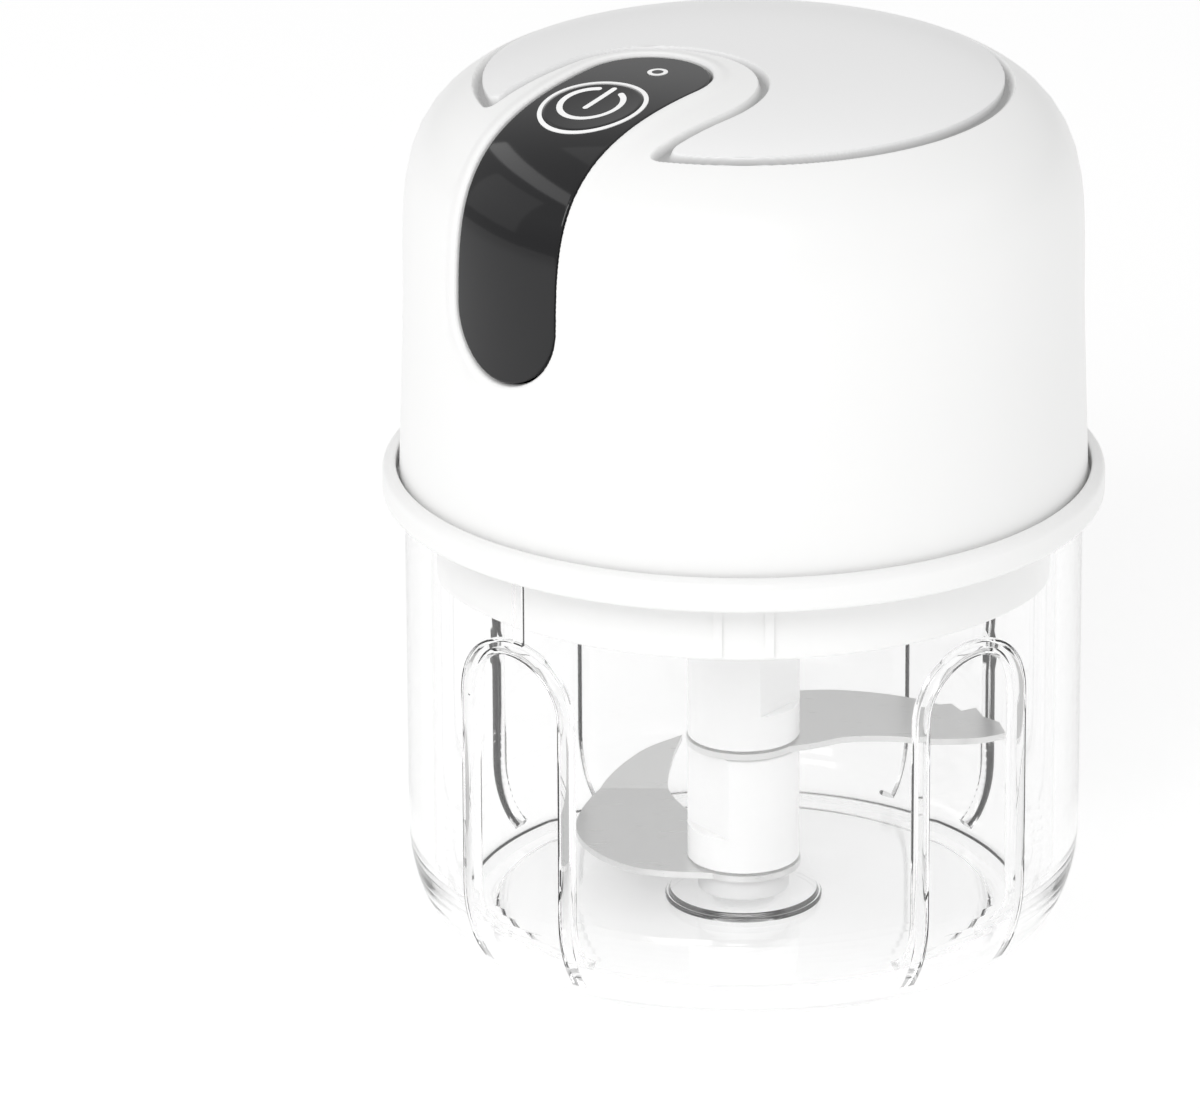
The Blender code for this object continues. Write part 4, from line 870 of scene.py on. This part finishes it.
def surface_mesh(name, surface, places, faces, shade=None):
    """A mesh of the map's triangles laid on a surface, shaded with that surface's own normals."""
    used, again = np.unique(faces, return_inverse=True)
    faces = again.reshape(faces.shape)
    places = places[used]
    spots = surface(places)
    small = 0.02
    east = surface(places + np.array([small, 0])) - surface(places - np.array([small, 0]))
    north = surface(places + np.array([0, small])) - surface(places - np.array([0, small]))
    normals = np.cross(east, north)
    normals /= np.maximum(np.linalg.norm(normals, axis=1), 1e-12)[:, None]
    mesh = bpy.data.meshes.new(name)
    mesh.from_pydata((spots * 0.001).tolist(), [], faces.tolist())
    mesh.shade_smooth()
    mesh.normals_split_custom_set_from_vertices(normals.tolist())
    if shade is not None:
        mesh.attributes.new("groove_shade", "FLOAT", "POINT").data.foreach_set("value", shade(places))
    return mesh


def circle_loop(radius, steps):
    turns = 2 * math.pi * np.arange(steps) / steps
    return np.stack([radius * np.cos(turns), radius * np.sin(turns)], 1)


def add_groove_shade(paint, colour):
    """Paint shade into a plastic's colour where the surface lies deep in a groove."""
    nodes = paint.node_tree.nodes
    links = paint.node_tree.links
    depth = nodes.new("ShaderNodeAttribute")
    depth.attribute_name = "groove_shade"
    mix = nodes.new("ShaderNodeMix")
    mix.data_type = "RGBA"
    mix.inputs[6].default_value = (*colour, 1)
    mix.inputs[7].default_value = (*PAINTED_GROOVE_SHADE, 1)
    links.new(depth.outputs["Fac"], mix.inputs[0])
    links.new(mix.outputs[2], nodes["Principled BSDF"].inputs["Base Color"])


def make_shell():
    points = graded_points(shell_spacing, DOME_EDGE - 0.4)
    distance = strip_distance(on_dome(points)[0])
    points = points[(distance > GAP_WIDTH + 0.16) | (distance < GAP_WIDTH - 0.16)]
    loops = [
        circle_loop(DOME_EDGE, 320),
        strip_outline(PANEL_HALF + GAP_WIDTH),
        strip_outline(PANEL_HALF + GAP_WIDTH + 0.08),
    ]
    places, faces = triangulated(points, loops)
    centres = places[faces].mean(1)
    spots, _ = on_dome(centres)
    outside_strip = strip_distance(spots) > GAP_WIDTH
    crown = crown_distance(spots, np.hypot(centres[:, 0], centres[:, 1])) < -GROOVE_HALF
    shell = surface_mesh("shell", shell_surface, places, faces[outside_strip & ~crown], groove_shade)
    shell_white = moulded("shell_white_plastic", SHELL_COLOUR, 0.33, 9000.0, 0.10, IOR=1.48)
    # Painted shade darkens the shell and the panel in the groove.
    add_groove_shade(shell_white, SHELL_COLOUR)
    finish_object("motor_housing_look", shell, "head", shell_white, None, "motor_housing")
    panel_white = moulded("panel_white_plastic", PANEL_COLOUR, 0.30, 9000.0, 0.10, IOR=1.48)
    add_groove_shade(panel_white, PANEL_COLOUR)
    top = surface_mesh("crown_panel", shell_surface, places, faces[outside_strip & crown], groove_shade)
    finish_object("top_panel_look", top, "head", panel_white, None, "top_panel")
    foot = softened([
        (DOME_BASE_RADIUS, DOME_BASE + 0.02, 0), (DOME_BASE_RADIUS - 0.2, DOME_BASE, 0),
        (DOME_BASE_RADIUS - 2.2, DOME_BASE, 0), (DOME_BASE_RADIUS - 2.4, DOME_BASE + 0.3, 0),
        (DOME_BASE_RADIUS - 2.5, DOME_BASE + 3.8, 0),
    ])
    mesh = turned("shell_foot", foot, 180)
    finish_object("motor_housing_foot_look", mesh, "head", white_plastic, 60)


make_shell()


# Control strip: a glossy dark inlay that runs from the crown over the shoulder, with rounded edges.
# It has a round hole for the button and its light ring, and a small one for the indicator.
# The button is dished and carries an inlaid on-off mark.

BUTTON_ALONG = 27.9
RING_OUTER = 7.60
RING_INNER = 6.97
CAP_RADIUS = 6.90
DISH = 0.42
INDICATOR_ALONG = 14.56
INDICATOR_OUTER = 1.40
INDICATOR_INNER = 0.80
MARK_WIDTH = 0.85
MARK_RADIUS = 4.35
MARK_PLACE = (-0.70, -0.85)
MARK_OPENING = 27


def button_matrix():
    """Origin on the dome at the button's centre, Z out of the dome, X along the strip away from the crown."""
    radius = math.hypot(BUTTON_ALONG, PANEL_LINE)
    turn = PANEL_TURN + math.atan2(PANEL_LINE, BUTTON_ALONG)
    s = float(along_from_radius(radius))
    spots, normals = on_dome(np.array([[s * math.cos(turn), s * math.sin(turn)]]))
    normal = Vector(normals[0]).normalized()
    along = Vector((math.cos(PANEL_TURN), math.sin(PANEL_TURN), 0))
    along = (along - normal * along.dot(normal)).normalized()
    turned_axes = Matrix((along, normal.cross(along), normal)).transposed().to_4x4()
    return Matrix.Translation(Vector(spots[0])) @ turned_axes


def height_over(flat, matrix):
    """Height of the dome over points of the button's plane, along the button's axis."""
    turn = np.array(matrix.to_3x3())
    origin = np.array(matrix.translation)
    height = np.zeros(len(flat))
    for _ in range(12):
        spots = origin + np.stack([flat[:, 0], flat[:, 1], height], 1) @ turn.T
        radius = np.hypot(spots[:, 0], spots[:, 1])
        s = along_from_radius(radius)
        part = np.interp(s, TABLE_S, TABLE_NR) / np.maximum(radius, 1e-9)
        normals = np.stack([part * spots[:, 0], part * spots[:, 1], np.interp(s, TABLE_S, TABLE_NZ)], 1)
        miss = (np.interp(s, TABLE_S, TABLE_Z) - spots[:, 2]) * normals[:, 2]
        height += miss / (normals @ turn[:, 2])
    return height


def map_of(flat, matrix):
    """Map points of a flat figure in the button's plane, dropped on to the dome along the button's axis."""
    turn = np.array(matrix.to_3x3())
    raised = np.stack([flat[:, 0], flat[:, 1], height_over(flat, matrix)], 1)
    spots = np.array(matrix.translation) + raised @ turn.T
    s = along_from_radius(np.hypot(spots[:, 0], spots[:, 1]))
    turns = np.arctan2(spots[:, 1], spots[:, 0])
    return np.stack([s * np.cos(turns), s * np.sin(turns)], 1)


def hole_distance(spots):
    """Distance outside the button's hole and outside the indicator's hole."""
    shifted = (spots - np.array(BUTTON.translation)) @ np.array(BUTTON.to_3x3())
    along, across = panel_axes(spots)
    button = np.hypot(shifted[:, 0], shifted[:, 1]) - RING_OUTER - 0.03
    indicator = np.hypot(along - INDICATOR_ALONG, across - PANEL_LINE) - INDICATOR_OUTER - 0.02
    return button, indicator


def strip_surface(places):
    spots, normals = on_dome(places)
    edge = -strip_distance(spots)
    button, indicator = hole_distance(spots)
    round_edge = 1 - np.clip(edge / 0.35, 0, 1)
    depth = 0.10 + 0.35 * (1 - np.sqrt(np.maximum(1 - round_edge ** 2, 0)))
    depth += 1.0 * (1 - smooth_step(0.0, 0.04, edge))
    for hole in (button, indicator):
        depth += 0.05 * (1 - smooth_step(0.0, 0.10, hole))
    return spots - normals * depth[:, None]


def strip_spacing(places):
    spots, _ = on_dome(places)
    edge = np.abs(strip_distance(spots))
    button, indicator = hole_distance(spots)
    nearest = np.minimum(edge, np.minimum(np.abs(button), np.abs(indicator)))
    return np.clip(0.22 + 0.45 * np.maximum(nearest - 0.35, 0), 0.22, 2.6)


def make_strip(gloss):
    points = graded_points(strip_spacing, DOME_EDGE)
    spots, _ = on_dome(points)
    edge = strip_distance(spots)
    button, indicator = hole_distance(spots)
    points = points[(edge < -0.12) & (button > 0.12) & (indicator > 0.12)]
    reach = INDICATOR_OUTER + 0.02
    turns = 2 * math.pi * np.arange(48) / 48
    x = INDICATOR_ALONG + reach * np.cos(turns)
    y = PANEL_LINE + reach * np.sin(turns)
    s = along_from_radius(np.hypot(x, y))
    azimuth = PANEL_TURN + np.arctan2(y, x)
    loops = [
        strip_outline(PANEL_HALF), strip_outline(PANEL_HALF - 0.05),
        map_of(circle_loop(RING_OUTER + 0.03, 160), BUTTON),
        np.stack([s * np.cos(azimuth), s * np.sin(azimuth)], 1),
    ]
    places, faces = triangulated(points, loops)
    spots, _ = on_dome(places[faces].mean(1))
    button, indicator = hole_distance(spots)
    inside = (strip_distance(spots) < 0) & (button > 0) & (indicator > 0)
    mesh = surface_mesh("control_strip", strip_surface, places, faces[inside])
    finish_object("control_panel_look", mesh, "head", gloss, None, "control_panel")


def cap_height(flat):
    """Height of the dished button's face in its own axes."""
    distance = np.hypot(flat[:, 0], flat[:, 1])
    rim = np.clip((distance - (CAP_RADIUS - 0.35)) / 0.35, 0, 1)
    rounded = 0.30 * (1 - np.sqrt(np.maximum(1 - rim ** 2, 0)))
    dish = DISH * np.clip(1 - (distance / (CAP_RADIUS - 0.5)) ** 2, 0, 1)
    return height_over(flat, BUTTON) - 0.08 - dish - rounded


def ring_height(flat):
    """Height of the light ring and of the indicator's ring: just under the strip's face."""
    return height_over(flat, BUTTON) - 0.06


def rings_mesh(name, radii, height, drop, steps=128):
    """Concentric circles in the button's plane, raised to a height, with a skirt at the last one."""
    points = []
    for radius in radii:
        flat = circle_loop(max(radius, 0.001), steps)
        points.append(np.column_stack([flat, height(flat)]))
    for radius, order in ((radii[-1], 1), (radii[0], 0)):
        if radius > 0.01:
            flat = circle_loop(radius, steps)
            skirt = np.column_stack([flat, height(flat) - drop])
            points = points + [skirt] if order else [skirt] + points
    faces = []
    for row in range(len(points) - 1):
        for step in range(steps):
            after = (step + 1) % steps
            here = row * steps
            beyond = here + steps
            faces.append([here + step, here + after, beyond + after, beyond + step])
    mesh = mesh_from(name, np.concatenate(points), faces)
    form = bmesh.new()
    form.from_mesh(mesh)
    bmesh.ops.reverse_faces(form, faces=form.faces)
    form.to_mesh(mesh)
    form.free()
    return mesh


def ribbon_mesh(name, path, width, height):
    """A flat line with round ends, laid at a height over the button's plane."""
    half = width / 2
    path = [Vector(point) for point in path]
    first = (path[0] - path[1]).normalized()
    last = (path[-1] - path[-2]).normalized()
    rows = []
    for step in range(1, 7):
        turn = math.pi / 2 * step / 7
        rows.append((path[0] + first * half * math.cos(turn), -first, half * math.sin(turn)))
    for index, here in enumerate(path):
        way = path[min(index + 1, len(path) - 1)] - path[max(index - 1, 0)]
        rows.append((here, way.normalized(), half))
    for step in range(6, 0, -1):
        turn = math.pi / 2 * step / 7
        rows.append((path[-1] + last * half * math.cos(turn), last, half * math.sin(turn)))
    flat = []
    for centre, way, reach in rows:
        aside = Vector((-way.y, way.x)) * reach
        flat += [tuple(centre + aside), tuple(centre), tuple(centre - aside)]
    flat = np.array(flat)
    faces = []
    for row in range(len(rows) - 1):
        for side in (0, 1):
            low = 3 * row + side
            faces.append([low, low + 1, low + 4, low + 3])
    return mesh_from(name, np.column_stack([flat, height(flat)]), faces)


def scaled_place(matrix):
    return Matrix.Translation(matrix.translation * 0.001) @ matrix.to_3x3().to_4x4()


def make_button(gloss):
    place = scaled_place(BUTTON)
    # The slight emission of the rings and the on-off mark is painted light that keeps their white bright.
    glow = principled("milky_plastic_ring", (0.95, 0.95, 0.95), 0.35, IOR=1.45, Emission_Strength=0.05)
    glow.node_tree.nodes["Principled BSDF"].inputs["Emission Color"].default_value = (1, 1, 1, 1)
    radii = list(np.linspace(0, CAP_RADIUS - 0.6, 26)) + list(np.linspace(CAP_RADIUS - 0.5, CAP_RADIUS, 10))
    cap = rings_mesh("button_cap", radii, cap_height, 1.2)
    cap.transform(place)
    finish_object("power_button_look", cap, "button", gloss, 50, "power_button")
    ring = rings_mesh("light_ring", list(np.linspace(RING_INNER, RING_OUTER, 5)), ring_height, 0.8, 160)
    ring.transform(place)
    finish_object("button_light_ring_look", ring, "head", glow, 50, "button_light_ring")
    opening = math.radians(MARK_OPENING)
    turns = np.linspace(math.pi + opening, 3 * math.pi - opening, 60)
    arc_path = [(MARK_PLACE[0] + MARK_RADIUS * math.cos(turn), MARK_PLACE[1] + MARK_RADIUS * math.sin(turn))
                for turn in turns]
    bar_path = [(MARK_PLACE[0] + along, MARK_PLACE[1]) for along in np.linspace(1.2, -4.7, 16)]

    def mark_height(flat):
        return cap_height(flat) + 0.012

    for name, path in (("mark_arc", arc_path), ("mark_bar", bar_path)):
        mesh = ribbon_mesh(name, path, MARK_WIDTH, mark_height)
        mesh.transform(place)
        finish_object(name + "_look", mesh, "button", glow, 60)
    turn = BUTTON.to_3x3()
    lens_spot = Matrix.Rotation(PANEL_TURN, 3, "Z") @ Vector((INDICATOR_ALONG, PANEL_LINE, 0))
    lens_spot.z = crown_level()
    lens_centre = turn.inverted() @ (lens_spot - BUTTON.translation)

    def lens_height(flat):
        return ring_height(flat + np.array([lens_centre.x, lens_centre.y]))

    shifted = place @ Matrix.Translation((0.001 * lens_centre.x, 0.001 * lens_centre.y, 0))
    ring = rings_mesh("indicator_ring", [INDICATOR_INNER, 1.0, 1.2, INDICATOR_OUTER], lens_height, 0.6, 48)
    ring.transform(shifted)
    finish_object("indicator_ring_look", ring, "head", glow, 50, "indicator_lens")
    eye = rings_mesh("indicator_eye", [0, 0.3, 0.6, INDICATOR_INNER - 0.02], lens_height, 0.4, 48)
    eye.transform(shifted)
    finish_object("indicator_eye_look", eye, "head", gloss, 50)


def crown_level():
    """Height of the dome at the indicator."""
    s = float(along_from_radius(math.hypot(INDICATOR_ALONG, PANEL_LINE)))
    return float(np.interp(s, TABLE_S, TABLE_Z))


BUTTON = button_matrix()
dark_gloss = principled("gloss_black_plastic", (0.007, 0.007, 0.008), 0.08, IOR=1.46)
make_strip(dark_gloss)
make_button(dark_gloss)


# Parts inside the head and below it, shown as packed.
# Each takes the finish of its record slot.

INNER_FINISHES = {
    "shaft_steel": ((0.56, 0.56, 0.57), 0.32, 1.0),
    "bush_brass": ((0.74, 0.56, 0.28), 0.34, 1.0),
    "gear_plastic": ((0.80, 0.77, 0.68), 0.45, 0.0),
    "dark_plastic": ((0.045, 0.045, 0.050), 0.50, 0.0),
    "silicone_rubber": ((0.74, 0.74, 0.74), 0.60, 0.0),
    "cell_wrap": ((0.08, 0.24, 0.42), 0.38, 0.0),
    "board_green": ((0.03, 0.20, 0.09), 0.45, 0.0),
    "red_lead": ((0.55, 0.04, 0.03), 0.45, 0.0),
    "black_lead": ((0.02, 0.02, 0.02), 0.45, 0.0),
    "milky_plastic": ((0.93, 0.93, 0.93), 0.30, 0.0),
    "white_plastic": ((0.93, 0.93, 0.925), 0.35, 0.0),
}


def paint_inner_parts():
    slots = {part["node"]: part["material_slot"] for part in frame["record"]["subparts"]}
    paints = {}
    for slot, (colour, roughness, metallic) in INNER_FINISHES.items():
        paints[slot] = moulded("inner_" + slot, colour, roughness, 7000.0, 0.15, Metallic=metallic)
    for name, part in frame["nodes"].items():
        paint = paints.get(slots[name])
        if paint is not None:
            part.data.materials.clear()
            part.data.materials.append(paint)


paint_inner_parts()
